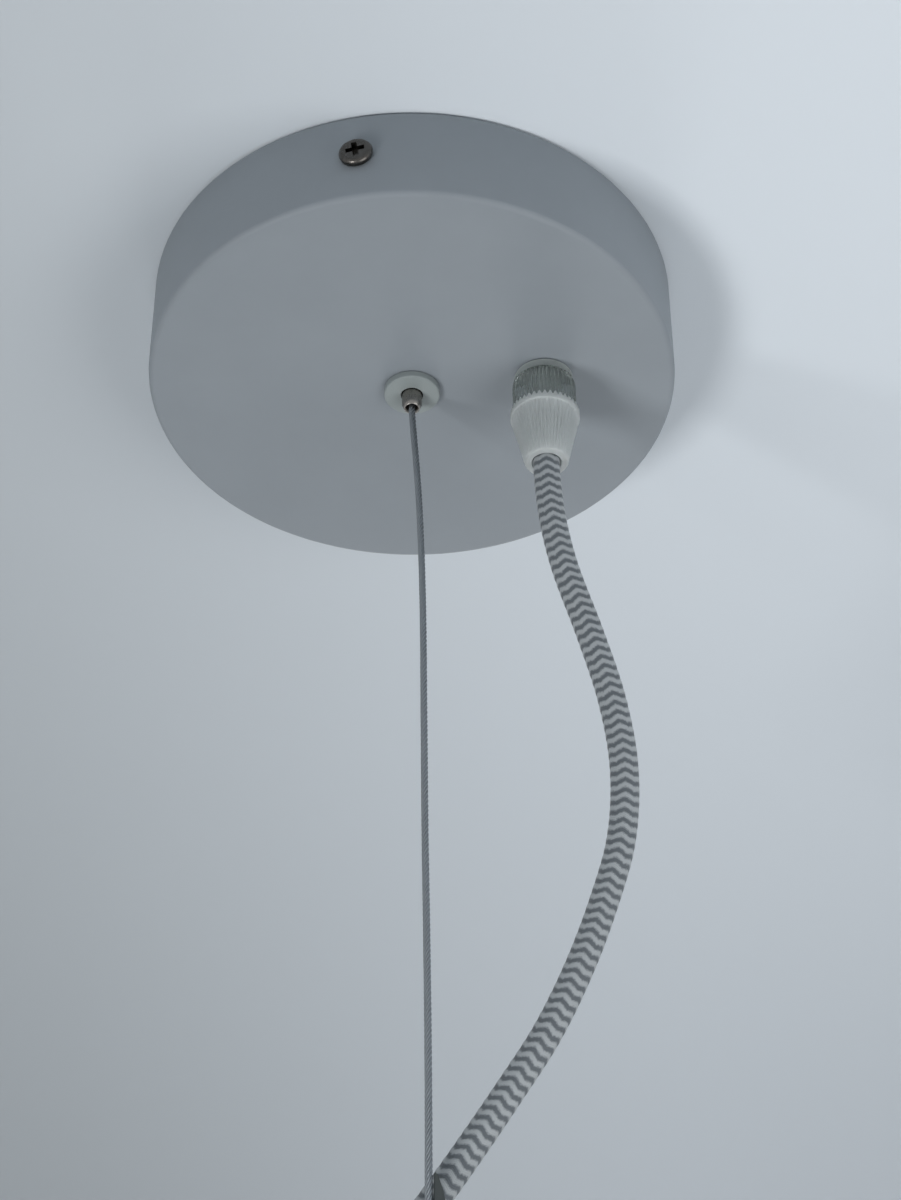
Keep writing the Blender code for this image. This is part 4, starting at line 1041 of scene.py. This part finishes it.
@dataclass
class WireGripper:
    """The painted barrel at the canopy's centre and the sleeve that frees the wire when it is pressed."""

    flange_dia: float = 12.7
    flange_top: float = -26.3
    flange_end: float = -27.95
    flange_edge: float = 0.4
    guide_dia: float = 5.0
    guide_edge: float = 0.15
    thread_dia: float = 10.0
    thread_edge: float = 0.3
    barrel_top: float = -11.3
    chamber_top: float = 4.25
    chamber_floor: Pair = (2.79, -23.4)
    sleeve_dia: float = 4.5
    sleeve_end_dia: float = 3.7
    sleeve_taper: float = 1.2
    sleeve_end: float = -32.0
    sleeve_edge: float = 0.1
    sleeve_bore: float = 2.4
    sleeve_mouth: float = 3.0
    mouth_edge: float = 0.08
    mouth_depth: float = 0.7
    shoulder_dia: float = 5.35
    shoulder: Pair = (-23.1, -22.1)
    spring_low: float = -18.65
    spring_top: float = -13.15
    spring_radius: float = 2.946
    spring_wire: float = 0.5
    spring_turns: int = 5
    # Pitch of the closed turn at each end, as a share of the wire
    spring_closed: float = 1.04
    spring_points: int = 24
    # How far the sleeve goes up, which is how much the spring shortens
    travel: float = 2.0
    sides: int = 128

    def build(self) -> list[Object]:
        """Build the barrel, the sleeve and the spring."""
        return [self.make_barrel(), self.make_sleeve(), self.make_spring()]

    def make_barrel(self) -> Object:
        """Turn the barrel, with a softly rounded flange below the canopy.

        Returns:
            The barrel.
        """
        flange, guide, thread = self.flange_dia / 2, self.guide_dia / 2, self.thread_dia / 2
        soft, edge, top = self.guide_edge, self.flange_edge, self.barrel_top
        profile = [
            *arc((guide + soft, self.flange_end + soft), soft, 180, 270, 3),
            *arc((flange - edge, self.flange_end + edge), edge, -90, 0, 8),
            (flange, self.flange_top), (thread, self.flange_top), (thread, top - self.thread_edge),
            (thread - self.thread_edge, top), (self.chamber_top, top), self.chamber_floor,
            (guide, self.chamber_floor[1]),
        ]
        mesh = softened(mesh_from("gripper_barrel", turned(profile, self.sides)))
        return show("gripper_barrel", mesh, FLANGE_COAT, Body.ROOT, ["gripper_body"])

    def make_sleeve(self) -> Object:
        """Turn the release sleeve: a rounded lip, a flared mouth and the shoulder that meets the balls.

        Returns:
            The sleeve.
        """
        outer, end, shoulder = self.sleeve_dia / 2, self.sleeve_end_dia / 2, self.shoulder_dia / 2
        bore, mouth, soft = self.sleeve_bore / 2, self.sleeve_mouth / 2, self.mouth_edge
        low, high = self.shoulder
        tip = self.sleeve_end
        profile = [
            (mouth, tip + soft), (mouth + soft, tip), (end - 1.2 * self.sleeve_edge, tip),
            (end, tip + self.sleeve_edge), (outer, tip + self.sleeve_taper), (outer, low), (shoulder, low),
            (shoulder, high), (bore, high), (bore, tip + self.mouth_depth),
        ]
        mesh = softened(mesh_from("release_sleeve", turned(profile, self.sides)))
        return show("release_sleeve", mesh, NICKEL, Body.PLUNGER, ["release_plunger"])

    def make_spring(self) -> Object:
        """Wind the spring above the balls, its end turns closed.

        Returns:
            The spring.
        """
        wire, length = self.spring_wire, self.spring_top - self.spring_low
        closed = self.spring_closed * wire
        pitch = (length - wire - 2 * closed) / (self.spring_turns - 2)
        points = []
        for step in range(self.spring_turns * self.spring_points + 1):
            turn = step / self.spring_points
            rise = min(turn, 1) * closed + min(max(turn - 1, 0), self.spring_turns - 2) * pitch
            rise += max(turn - self.spring_turns + 1, 0) * closed
            spoke = Vector((cos(TURN * turn), sin(TURN * turn), 0.0)) * self.spring_radius
            points.append((spoke + Vector((0.0, 0.0, self.spring_low + wire / 2 + rise))) * MM)
        mesh = TubeTree().grow(line_mesh("return_spring", points), ZINC, {
            "Sides": 12, "Diameter": wire * MM, "Step": 0.3 * MM, **TubeTree.PLAIN})
        spring = show("return_spring", mesh, ZINC, Body.ROOT, ["gripper_spring"])
        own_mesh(spring)
        return spring


class Ring(NamedTuple):
    """A point of a ribbed profile: its radius and level, and how much of the ribs and teeth it takes."""

    radius: float
    level: float
    rib: float = 0.0
    tooth: float = 0.0


@dataclass
class CordGrip:
    """The clear cord grip: its ribbed collar with the threaded shank, and its ribbed clamping cap."""

    sides: int = 480
    bore: float = 7.0
    shank_top: float = -18.0
    shank_dia: float = 10.0
    seat: float = -26.3
    lip_dia: float = 13.3
    collar_top: float = -28.6
    collar_dia: float = 14.3
    # The ribs run out deeper than they are at the collar's upper edge
    collar_runout: float = 2.6
    band_top: float = -35.9
    band_dia: float = 13.7
    band_rib: float = 0.8
    stub_top: float = -36.6
    stub_dia: float = 11.2
    stub_end: float = -43.8
    ribs: int = 48
    rib_depth: float = 0.45
    teeth: int = 40
    tooth: float = 1.0
    hold_dia: float = 6.2
    mouth_dia: float = 6.7
    cap_top: float = -36.9
    crown_dia: float = 15.6
    crown_end: float = -39.2
    # Diameter, level and share of the ribs down the taper
    taper: tuple[Triple, ...] = (
        (15.0, -39.6, 0.6), (14.1, -42.0, 0.9), (13.1, -44.0, 0.9), (12.2, -46.0, 0.85), (11.3, -48.0, 0.7),
        (10.5, -50.0, 0.4), (9.9, -51.5, 0.1))
    cap_end: float = -52.0
    cap_end_dia: float = 9.3
    socket_dia: float = 11.8
    socket_end: float = -44.0
    collet_dia: float = 11.0
    collet_end: float = -45.9
    cone_end: Pair = (4.2, -50.2)
    # Edges sharper than this stay sharp, in degrees
    crease: float = 38.0

    def build(self) -> list[Object]:
        """Build the collar and the cap."""
        return [self.make_collar(), self.make_cap()]

    def ribbed(self, name: str, profile: list[Ring], finish: Finish) -> Mesh:
        """Turn a profile and cut ribs and teeth into it.

        Args:
            name: The mesh's name.
            profile: Its rings, in order round the section.
            finish: The finish that the mesh gets.

        Returns:
            The ribbed mesh, at its place.
        """
        base = mesh_from(name, turned([(ring.radius, ring.level) for ring in profile], self.sides))
        for label in ("rib", "tooth"):
            shares = [getattr(ring, label) for ring in profile for _ in range(self.sides)]
            base.attributes.new(label, "FLOAT", "POINT").data.foreach_set("value", shares)
        mesh = RibTree().grow(base, finish, {
            "Ribs": self.ribs, "Depth": self.rib_depth * MM, "Teeth": self.teeth, "Tooth": self.tooth * MM})
        mesh.transform(Matrix.Translation((GRIP_PLACE[0] * MM, GRIP_PLACE[1] * MM, 0.0)))
        return softened(mesh, self.crease)

    def make_collar(self) -> Object:
        """Make the clear body: a lip against the canopy, the ribbed collar, a plain band and the stub inside.

        Returns:
            The collar.
        """
        bore, thread = self.bore / 2, self.shank_dia / 2
        lip, collar = self.lip_dia / 2, self.collar_dia / 2
        band, stub = self.band_dia / 2, self.stub_dia / 2
        top, low, rib = self.collar_top, self.band_top, self.band_rib
        profile = [
            Ring(bore, self.shank_top), Ring(thread - 0.4, self.shank_top),
            Ring(thread, self.shank_top - 0.4), Ring(thread, self.seat), Ring(lip - 0.2, self.seat),
            Ring(lip, self.seat - 0.2), Ring(lip, top + 0.3), Ring(lip + 0.1, top + 0.1),
            Ring(collar - 0.25, top, self.collar_runout),
            Ring(collar, top - 0.35, self.collar_runout), Ring(collar, top - 0.6, 1.0),
            Ring(collar, (top + low) / 2, 1.0), Ring(collar, low + 0.3, 1.0), Ring(band, low, rib),
            Ring(band, self.stub_top + 0.2, rib), Ring(band - 0.2, self.stub_top, rib - 0.2),
            Ring(stub, self.stub_top), Ring(stub, self.stub_end + 0.3),
            Ring(stub - 0.3, self.stub_end), Ring(bore, self.stub_end),
        ]
        mesh = self.ribbed("grip_collar", profile, CLEAR)
        return show("grip_collar", mesh, CLEAR, Body.ROOT, ["grip_body"])

    def make_cap(self) -> Object:
        """Make the frosted cap: a serrated crown over a ribbed taper that closes on the flex.

        Returns:
            The cap.
        """
        hold, mouth, end = self.hold_dia / 2, self.mouth_dia / 2, self.cap_end_dia / 2
        socket, collet, crown = self.socket_dia / 2, self.collet_dia / 2, self.crown_dia / 2
        top, foot = self.cap_top, self.cap_top - self.tooth
        profile = [
            Ring(socket, foot), Ring(crown - 1.1, foot), Ring(crown - 0.7, top, 0.0, 1.0),
            Ring(crown - 0.15, top, 0.0, 1.0), Ring(crown, top - 0.15, 0.0, 1.0),
            Ring(crown, top - 1.3 * self.tooth), Ring(crown, self.crown_end + 0.3),
            Ring(crown - 0.1, self.crown_end + 0.1), Ring(self.taper[0][0] / 2 + 0.05, self.crown_end),
            *(Ring(dia / 2, level, rib) for dia, level, rib in self.taper),
            Ring(end, self.cap_end + 0.1), Ring(end - 0.2, self.cap_end), Ring(mouth, self.cap_end),
            Ring(hold, self.cap_end + 0.4), Ring(hold, self.cone_end[1]), Ring(*self.cone_end),
            Ring(collet, self.collet_end), Ring(collet, self.socket_end), Ring(socket, self.socket_end),
        ]
        mesh = self.ribbed("grip_clamp_cap", profile, FROSTED)
        return show("grip_clamp_cap", mesh, FROSTED, Body.CAP, ["grip_cap"])


@dataclass
class SuspensionWire:
    """The steel rope: from its tail above the gripper, down through it, to the crimped eye below the view."""

    diameter: float = 1.5
    strands: int = 6
    # Size of a strand, as a share of a third of the rope, so that neighbours meet
    strand_fill: float = 1.02
    lay_length: float = 7.0
    step: float = 0.6
    spacing: float = 1.2
    tail: float = -24.0
    tail_z: float = -4.8
    end: float = 4.0
    back: float = 6.2
    eye: Pair = (5.1, -260.0)
    exit: Triple = (0.0, 0.0, -9.0)

    def route(self) -> list[Triple]:
        """Lay out the rope's line in the hang frame.

        Returns:
            Its points.
        """
        u, z = self.eye
        side = ((3.0, 9.4), (5.5, 5.4), (4.0, 1.6))
        line = [
            (self.tail, self.tail_z), (self.tail / 2, self.tail_z), (-4.6, self.tail_z), (-1.5, -6.0),
            (-0.1, -8.8), (0.0, -12.0), (0.0, -20.0), (0.0, -28.0), (0.05, -33.0), (0.55, -41.0),
            (1.3, -52.0), (2.0, -66.0), (2.65, -90.0), (2.95, -120.0), (3.25, -150.0), (3.65, -176.0),
            (3.95, -205.0), *((self.end, level) for level in (-226.0, -237.5, -242.0, -247.0)),
            *((u - out, z + up) for out, up in side), (u, z),
            *((u + out, z + up) for out, up in reversed(side)),
            *((self.back, level) for level in (-247.0, -242.0, -236.3)),
        ]
        return [(across, 0.0, level) for across, level in line]

    def build(self) -> list[Object]:
        """Returns:
            The rope.
        """
        path = hung(smooth_route(self.route(), self.spacing))
        strand = self.diameter / 3
        mesh = RopeTree().grow(line_mesh("wire_rope", path), ROPE_STEEL, {
            "Strands": self.strands, "Strand": strand * self.strand_fill * MM, "Lay Radius": strand * MM,
            "Lay Length": self.lay_length * MM, "Step": self.step * MM})
        rope = show("wire_rope", mesh, ROPE_STEEL, Body.ROOT, ["suspension_wire"])
        return [rope]


@dataclass
class Clip:
    """The dark clip that holds the flex at the wire: a wedge beside the wire, a web behind it and a ring."""

    # Outline of the wedge beside the wire: across and level, in the hang frame
    wedge: tuple[Pair, ...] = (
        (4.95, -221.6), (5.6, -221.8), (6.7, -225.4), (7.2, -228.2), (7.2, -233.0), (4.95, -233.0))
    wedge_depth: Pair = (-0.5, 1.85)
    # The web ends just inside the wedge, so that no two of their faces lie in one plane
    web: tuple[Pair, ...] = ((1.0, -227.5), (6.9, -227.5), (6.9, -232.7), (1.0, -232.7))
    web_depth: Pair = (1.05, 1.73)
    ring_place: Triple = (0.7, 5.0, -231.0)
    ring_heading: Triple = (-8.3, 0.0, -12.6)
    ring_radius: float = 3.95
    ring_bore: float = 3.1
    ring_length: float = 5.0
    edge: float = 0.22

    def plate(self, name: str, outline: Sequence[Pair], depth: Pair) -> Mesh:
        """Make a plate with rounded edges from an outline that faces the viewer.

        Args:
            name: The mesh's name.
            outline: Across and level of its corners.
            depth: Where it starts and ends, away from the viewer.

        Returns:
            The plate in the part's frame.
        """
        bm = bmesh.new()
        front = bm.faces.new([bm.verts.new((across, depth[0], level)) for across, level in outline])
        back = bmesh.ops.extrude_face_region(bm, geom=[front])
        corners = [item for item in back["geom"] if isinstance(item, bmesh.types.BMVert)]
        bmesh.ops.translate(bm, verts=corners, vec=(0.0, depth[1] - depth[0], 0.0))
        bmesh.ops.bevel(bm, geom=list(bm.edges), offset=self.edge, segments=3, affect="EDGES")
        return mesh_from(name, bm, HANG)

    def build(self) -> list[Object]:
        """Fuse the wedge, the web and the ring.

        Returns:
            The clip.
        """
        outer, bore, edge, half = self.ring_radius, self.ring_bore, self.edge, self.ring_length / 2
        section = [(bore, -half), (outer - edge, -half), (outer, edge - half), (outer, half - edge),
                   (outer - edge, half), (bore, half)]
        slant = Vector(self.ring_heading).to_track_quat("Z", "Y").to_matrix().to_4x4()
        ring = mesh_from("clip_ring", turned(section, 64), HANG @ Matrix.Translation(self.ring_place) @ slant)
        plates = [self.plate("clip_wedge", self.wedge, self.wedge_depth),
                  self.plate("clip_web", self.web, self.web_depth)]
        mesh = softened(joined(ring, plates, Join.FUSE))
        return [show("flex_clip", mesh, BLACK_NYLON, Body.ROOT, ["cable_clip"])]


@dataclass
class Flex:
    """The textile flex: from inside the canopy, through the grip and past the clip, into the tied coil."""

    diameter: float = 6.0
    sides: int = 28
    step: float = 0.55
    relief: float = 0.14
    spacing: float = 2.0
    # Where the grip is in the hang frame
    grip: Pair = (29.9748, -3.6802)
    exit: Triple = (*GRIP_PLACE, -26.0)
    coil_inner: float = 28.0
    coil_pitch: float = 6.6
    coil_turns: float = 5 + 1 / 12
    coil_start: float = 150.0
    coil_points: int = 24
    coil_tail: float = 22.0
    coil_centre: Pair = (5.1, -306.32)
    core_dia: float = 2.2
    core_sides: int = 20
    core_step: float = 0.6
    core_spacing: float = 1.0
    core_ring: float = 1.45
    core_start: float = 30.0
    core_length: float = 26.0
    # How far below the flex's end a core starts, and how it spreads half way down and at its end
    core_drop: float = 0.3
    core_spread: Pair = (0.6, 1.4)
    # Levels inside the canopy: of the sleeve's end, of the terminals and of the earth lug
    sleeve_z: float = -12.5
    pole_z: float = -9.5
    lug_z: float = -3.5

    def coil(self) -> list[Vector]:
        """Lay out the coil in the hang frame: turns in two layers that climb where it turns back, and a tail.

        Returns:
            Points of its centre line.
        """
        points = []
        count = round(self.coil_turns * self.coil_points)
        for step in range(count + 1):
            turn = self.coil_turns * step / count
            angle = radians(self.coil_start) + TURN * turn
            climb = min(max((turn - self.coil_turns / 2) / 0.5 + 0.5, 0.0), 1.0)
            layer = 1 - 2 * (3 * climb ** 2 - 2 * climb ** 3)
            radius = self.coil_inner + self.coil_pitch * abs(turn - self.coil_turns / 2)
            points.append(Vector((self.coil_centre[0] + radius * cos(angle), layer * self.coil_pitch / 2,
                                  self.coil_centre[1] + radius * sin(angle))))
        drop = Vector((0.0, 0.0, -self.coil_tail))
        return [*points, points[-1] + drop / 2, points[-1] + drop]

    def route(self) -> list[Vector]:
        """Lay out the whole flex in the hang frame.

        Returns:
            Points of its centre line.
        """
        line = [
            *((*self.grip, level) for level in (-12.8, -19.4, -26.0, -38.3, -52.0, -56.0)),
            (30.9, -3.1, -68.0), (33.2, -2.4, -81.0), (37.9, -1.4, -98.0), (41.9, -0.6, -115.0),
            (43.7, 0.2, -131.5), (42.5, 1.1, -148.0), (38.3, 2.0, -163.0), (32.9, 2.8, -177.5),
            (26.5, 3.5, -191.0), (19.1, 4.2, -203.0), (11.7, 4.7, -214.5), (4.0, 5.0, -226.0),
            (-4.8, 4.9, -239.0), (-13.6, 4.5, -252.2),
        ]
        coil = self.coil()
        heading = (coil[0] - coil[1]).normalized()
        leads = [coil[0] + heading * self.diameter * share for share in (3, 2, 1)]
        return [*(Vector(point) for point in line), *leads, *coil]

    def build(self) -> list[Object]:
        """Returns:
            The pieces.
        """
        path = hung(smooth_route(self.route(), self.spacing))
        tubes = TubeTree()
        mesh = tubes.grow(line_mesh("braided_flex", path), BRAID, {
            "Sides": self.sides, "Diameter": self.diameter * MM, "Step": self.step * MM,
            "Relief": self.relief * MM, **BRAID.pattern()})
        braid = show("braided_flex", mesh, BRAID, Body.ROOT, ["cable", "cable_coil"])
        cores = self.make_lamp_cores(tubes)
        clip = Clip().build()
        return [braid, *clip, *cores, *self.make_canopy_cores(tubes)]

    def core(self, tubes: TubeTree, name: str, points: list[Vector], slot: str, node: str) -> Object:
        """Make one insulated core.

        Args:
            tubes: The tree that makes tubes.
            name: The piece's name.
            points: Its line in the part's frame, in metres.
            slot: The record's material slot.
            node: The solid that it stands for.

        Returns:
            The core.
        """
        finish = SLOT_FINISHES[slot]
        mesh = tubes.grow(line_mesh(name, points), finish, {
            "Sides": self.core_sides, "Diameter": self.core_dia * MM, "Step": self.core_step * MM,
            **TubeTree.PLAIN})
        return show(name, mesh, finish, Body.ROOT, [node])

    def core_spot(self, number: int) -> Vector:
        """Place of a core in the flex's section."""
        angle = radians(self.core_start + 120 * number)
        return Vector((self.core_ring * cos(angle), self.core_ring * sin(angle), 0.0))

    def make_lamp_cores(self, tubes: TubeTree) -> list[Object]:
        """Make the three cores that come out of the flex's lower end.

        Args:
            tubes: The tree that makes tubes.

        Returns:
            The cores.
        """
        end = self.coil()[-1]
        drop = Vector((0.0, 0.0, self.core_length))
        half, whole = self.core_spread
        made = []
        for number, slot in enumerate(CORE_SLOTS):
            spread = self.core_spot(number)
            top = end + spread - Vector((0.0, 0.0, self.core_drop))
            route = [top, top + spread * half - drop / 2, top + spread * whole - drop]
            line = hung(smooth_route(route, self.core_spacing))
            made.append(self.core(tubes, f"lamp_wire_{number + 1}", line, slot, f"lamp_core_{number + 1}"))
        return made

    def make_canopy_cores(self, tubes: TubeTree) -> list[Object]:
        """Make the three cores inside the canopy, from the flex's upper end to their terminals.

        Args:
            tubes: The tree that makes tubes.

        Returns:
            The cores.
        """
        pole, lug = self.pole_z, self.lug_z
        routes = {
            "core_neutral": [
                (31.5, 3.0, -9.2), (31.2, 6.8, -6.0), (28.5, 14.0, -5.2), (22.5, 22.5, -6.8),
                (16.5, 26.6, pole), (13.0, 26.6, pole), (9.7, 26.6, pole)],
            "core_live": [
                (28.8, 2.9, -9.6), (26.8, 4.6, -6.6), (22.5, 8.6, -6.2), (17.5, 13.0, -8.0),
                (14.0, 14.6, pole), (12.0, 14.6, pole), (9.7, 14.6, pole)],
            "core_earth": [
                (30.1, 0.0, -9.4), (28.6, -4.2, -5.6), (23.5, -11.0, -4.2), (17.0, -16.5, -3.6),
                (12.5, -18.0, lug), (9.3, -18.0, lug)],
        }
        made = []
        for number, ((node, points), slot) in enumerate(zip(routes.items(), CORE_SLOTS)):
            start = Vector((*GRIP_PLACE, self.sleeve_z)) + self.core_spot(number)
            line = [point * MM for point in smooth_route([start, *points], self.core_spacing)]
            made.append(self.core(tubes, f"{node}_wire", line, slot, node))
        return made


class Fittings:
    """The solids that keep their own shape and get a better finish."""

    def dress(self) -> list[Object]:
        """Give each shown solid the finish of its slot.

        Returns:
            The solids.
        """
        slots = {part["node"]: part["material_slot"] for part in frame["record"]["subparts"]}
        dressed = []
        for name, item in frame["nodes"].items():
            if item.hide_render:
                continue
            for place in item.material_slots:
                place.material = SLOT_FINISHES[slots[name]].material()
            LOG.info("%s: %s", name, slots[name])
            dressed.append(item)
        return dressed


# The studio


class Lamp(NamedTuple):
    """A soft square lamp: where it is in the hang frame, its side in metres and its power in watts."""

    name: str
    place: Triple
    size: float
    power: float


@dataclass
class Studio:
    """The ceiling that the canopy hangs from, a pale floor, soft lamps and the camera."""

    # Camera, in the hang frame
    eye: Triple = (8.54, -441.97, -442.58)
    pitch: float = 38.757
    roll: float = -0.305
    focal_px: float = 2650.0
    image_height: int = 1200
    sensor: float = 24.0
    # The set, in metres
    ceiling_half: float = 1.5
    ceiling_hole: float = 0.056
    ceiling_z: float = 0.0002
    ceiling_sides: int = 96
    floor_half: float = 4.0
    floor_z: float = -1.6
    # A key from the left, a fill near the right and a lamp behind
    lamps: tuple[Lamp, ...] = (
        Lamp("key", (-0.75, -0.52, -1.25), 0.4, 9.0), Lamp("fill", (0.35, -0.18, -0.40), 0.4, 1.1),
        Lamp("behind", (0.1, 1.9, -0.50), 0.6, 5.5))
    world: str = "#E2E5E8"
    world_strength: float = 0.30
    backdrop: str = "#DADDE0"

    def build(self) -> None:
        """Set up the camera, the stage and the light."""
        self.set_camera()
        self.make_ceiling()
        half, low = self.floor_half, self.floor_z
        self.lay("floor", [(-half, -half, low), (half, -half, low), (half, half, low), (-half, half, low)],
                 [(0, 1, 2, 3)], FLOOR)
        for lamp in self.lamps:
            self.hang(lamp)
        self.set_world()

    def set_camera(self) -> None:
        """Stand the camera where the photograph was taken from."""
        data = bpy.data.cameras.new("camera")
        data.sensor_fit = "VERTICAL"
        data.sensor_height = self.sensor
        data.lens = self.focal_px * self.sensor / self.image_height
        data.clip_start = 0.01
        camera = put("camera", data)
        aim = Matrix.Rotation(radians(90 + self.pitch), 4, "X") @ Matrix.Rotation(
            radians(self.roll), 4, "Z")
        camera.matrix_world = HANG @ Matrix.Translation(Vector(self.eye) * MM) @ aim
        bpy.context.scene.camera = camera

    def lay(self, name: str, points: list[Triple], faces: list[tuple[int, ...]], finish: Finish) -> None:
        """Lay a flat sheet of the set.

        Args:
            name: Its name.
            points: Its points in metres.
            faces: The points of each face.
            finish: Its finish.
        """
        mesh = bpy.data.meshes.new(name)
        mesh.from_pydata(points, [], faces)
        mesh.materials.append(finish.material())
        put(name, mesh)

    def make_ceiling(self) -> None:
        """Lay the ceiling face down, open above the canopy so that light reaches into it from above."""
        sides = self.ceiling_sides
        angles = [TURN * (side + 0.5) / sides for side in range(sides)]
        points = [(radius * cos(a), radius * sin(a), self.ceiling_z)
                  for radius in (self.ceiling_hole, self.ceiling_half) for a in angles]
        faces = []
        for side in range(sides):
            after = (side + 1) % sides
            faces.append((side, after, sides + after, sides + side))
        self.lay("ceiling", points, faces, CEILING)

    def hang(self, lamp: Lamp) -> None:
        """Hang a lamp that faces the canopy.

        Args:
            lamp: The lamp.
        """
        data = bpy.data.lights.new(lamp.name, "AREA")
        data.size = lamp.size
        data.energy = lamp.power
        item = put(lamp.name, data)
        item.location = HANG @ Vector(lamp.place)
        item.rotation_euler = (-item.location).to_track_quat("-Z", "Y").to_euler()

    def set_world(self) -> None:
        """Set a pale world that lights softly and shows as the backdrop."""
        scene = bpy.context.scene
        scene.view_settings.view_transform = "Standard"
        scene.world = bpy.data.worlds.new("pale_room")
        scene.world.use_nodes = True
        tree = scene.world.node_tree
        light = tree.nodes["Background"]
        feed(light, {"Color": linear(self.world), "Strength": self.world_strength})
        backdrop = add(tree, "ShaderNodeBackground", {"Color": linear(self.backdrop)})
        feed(tree.nodes["World Output"], {
            "Surface": add(tree, "ShaderNodeMixShader", [looked_at(tree), light, backdrop])})


def main() -> None:
    """Build the studio, then each sub-assembly in order, and report each piece."""
    logging.basicConfig(level=logging.INFO, format="%(name)s: %(message)s")
    Studio().build()
    for part in (SuspensionWire(), Flex(), Cup(), WireGripper(), CordGrip()):
        pieces = part.build()
        LOG.info("%s: %s", type(part).__name__, ", ".join(piece.name for piece in pieces))
    LOG.info("fittings: %d solids", len(Fittings().dress()))


if __name__ == "__main__":
    main()
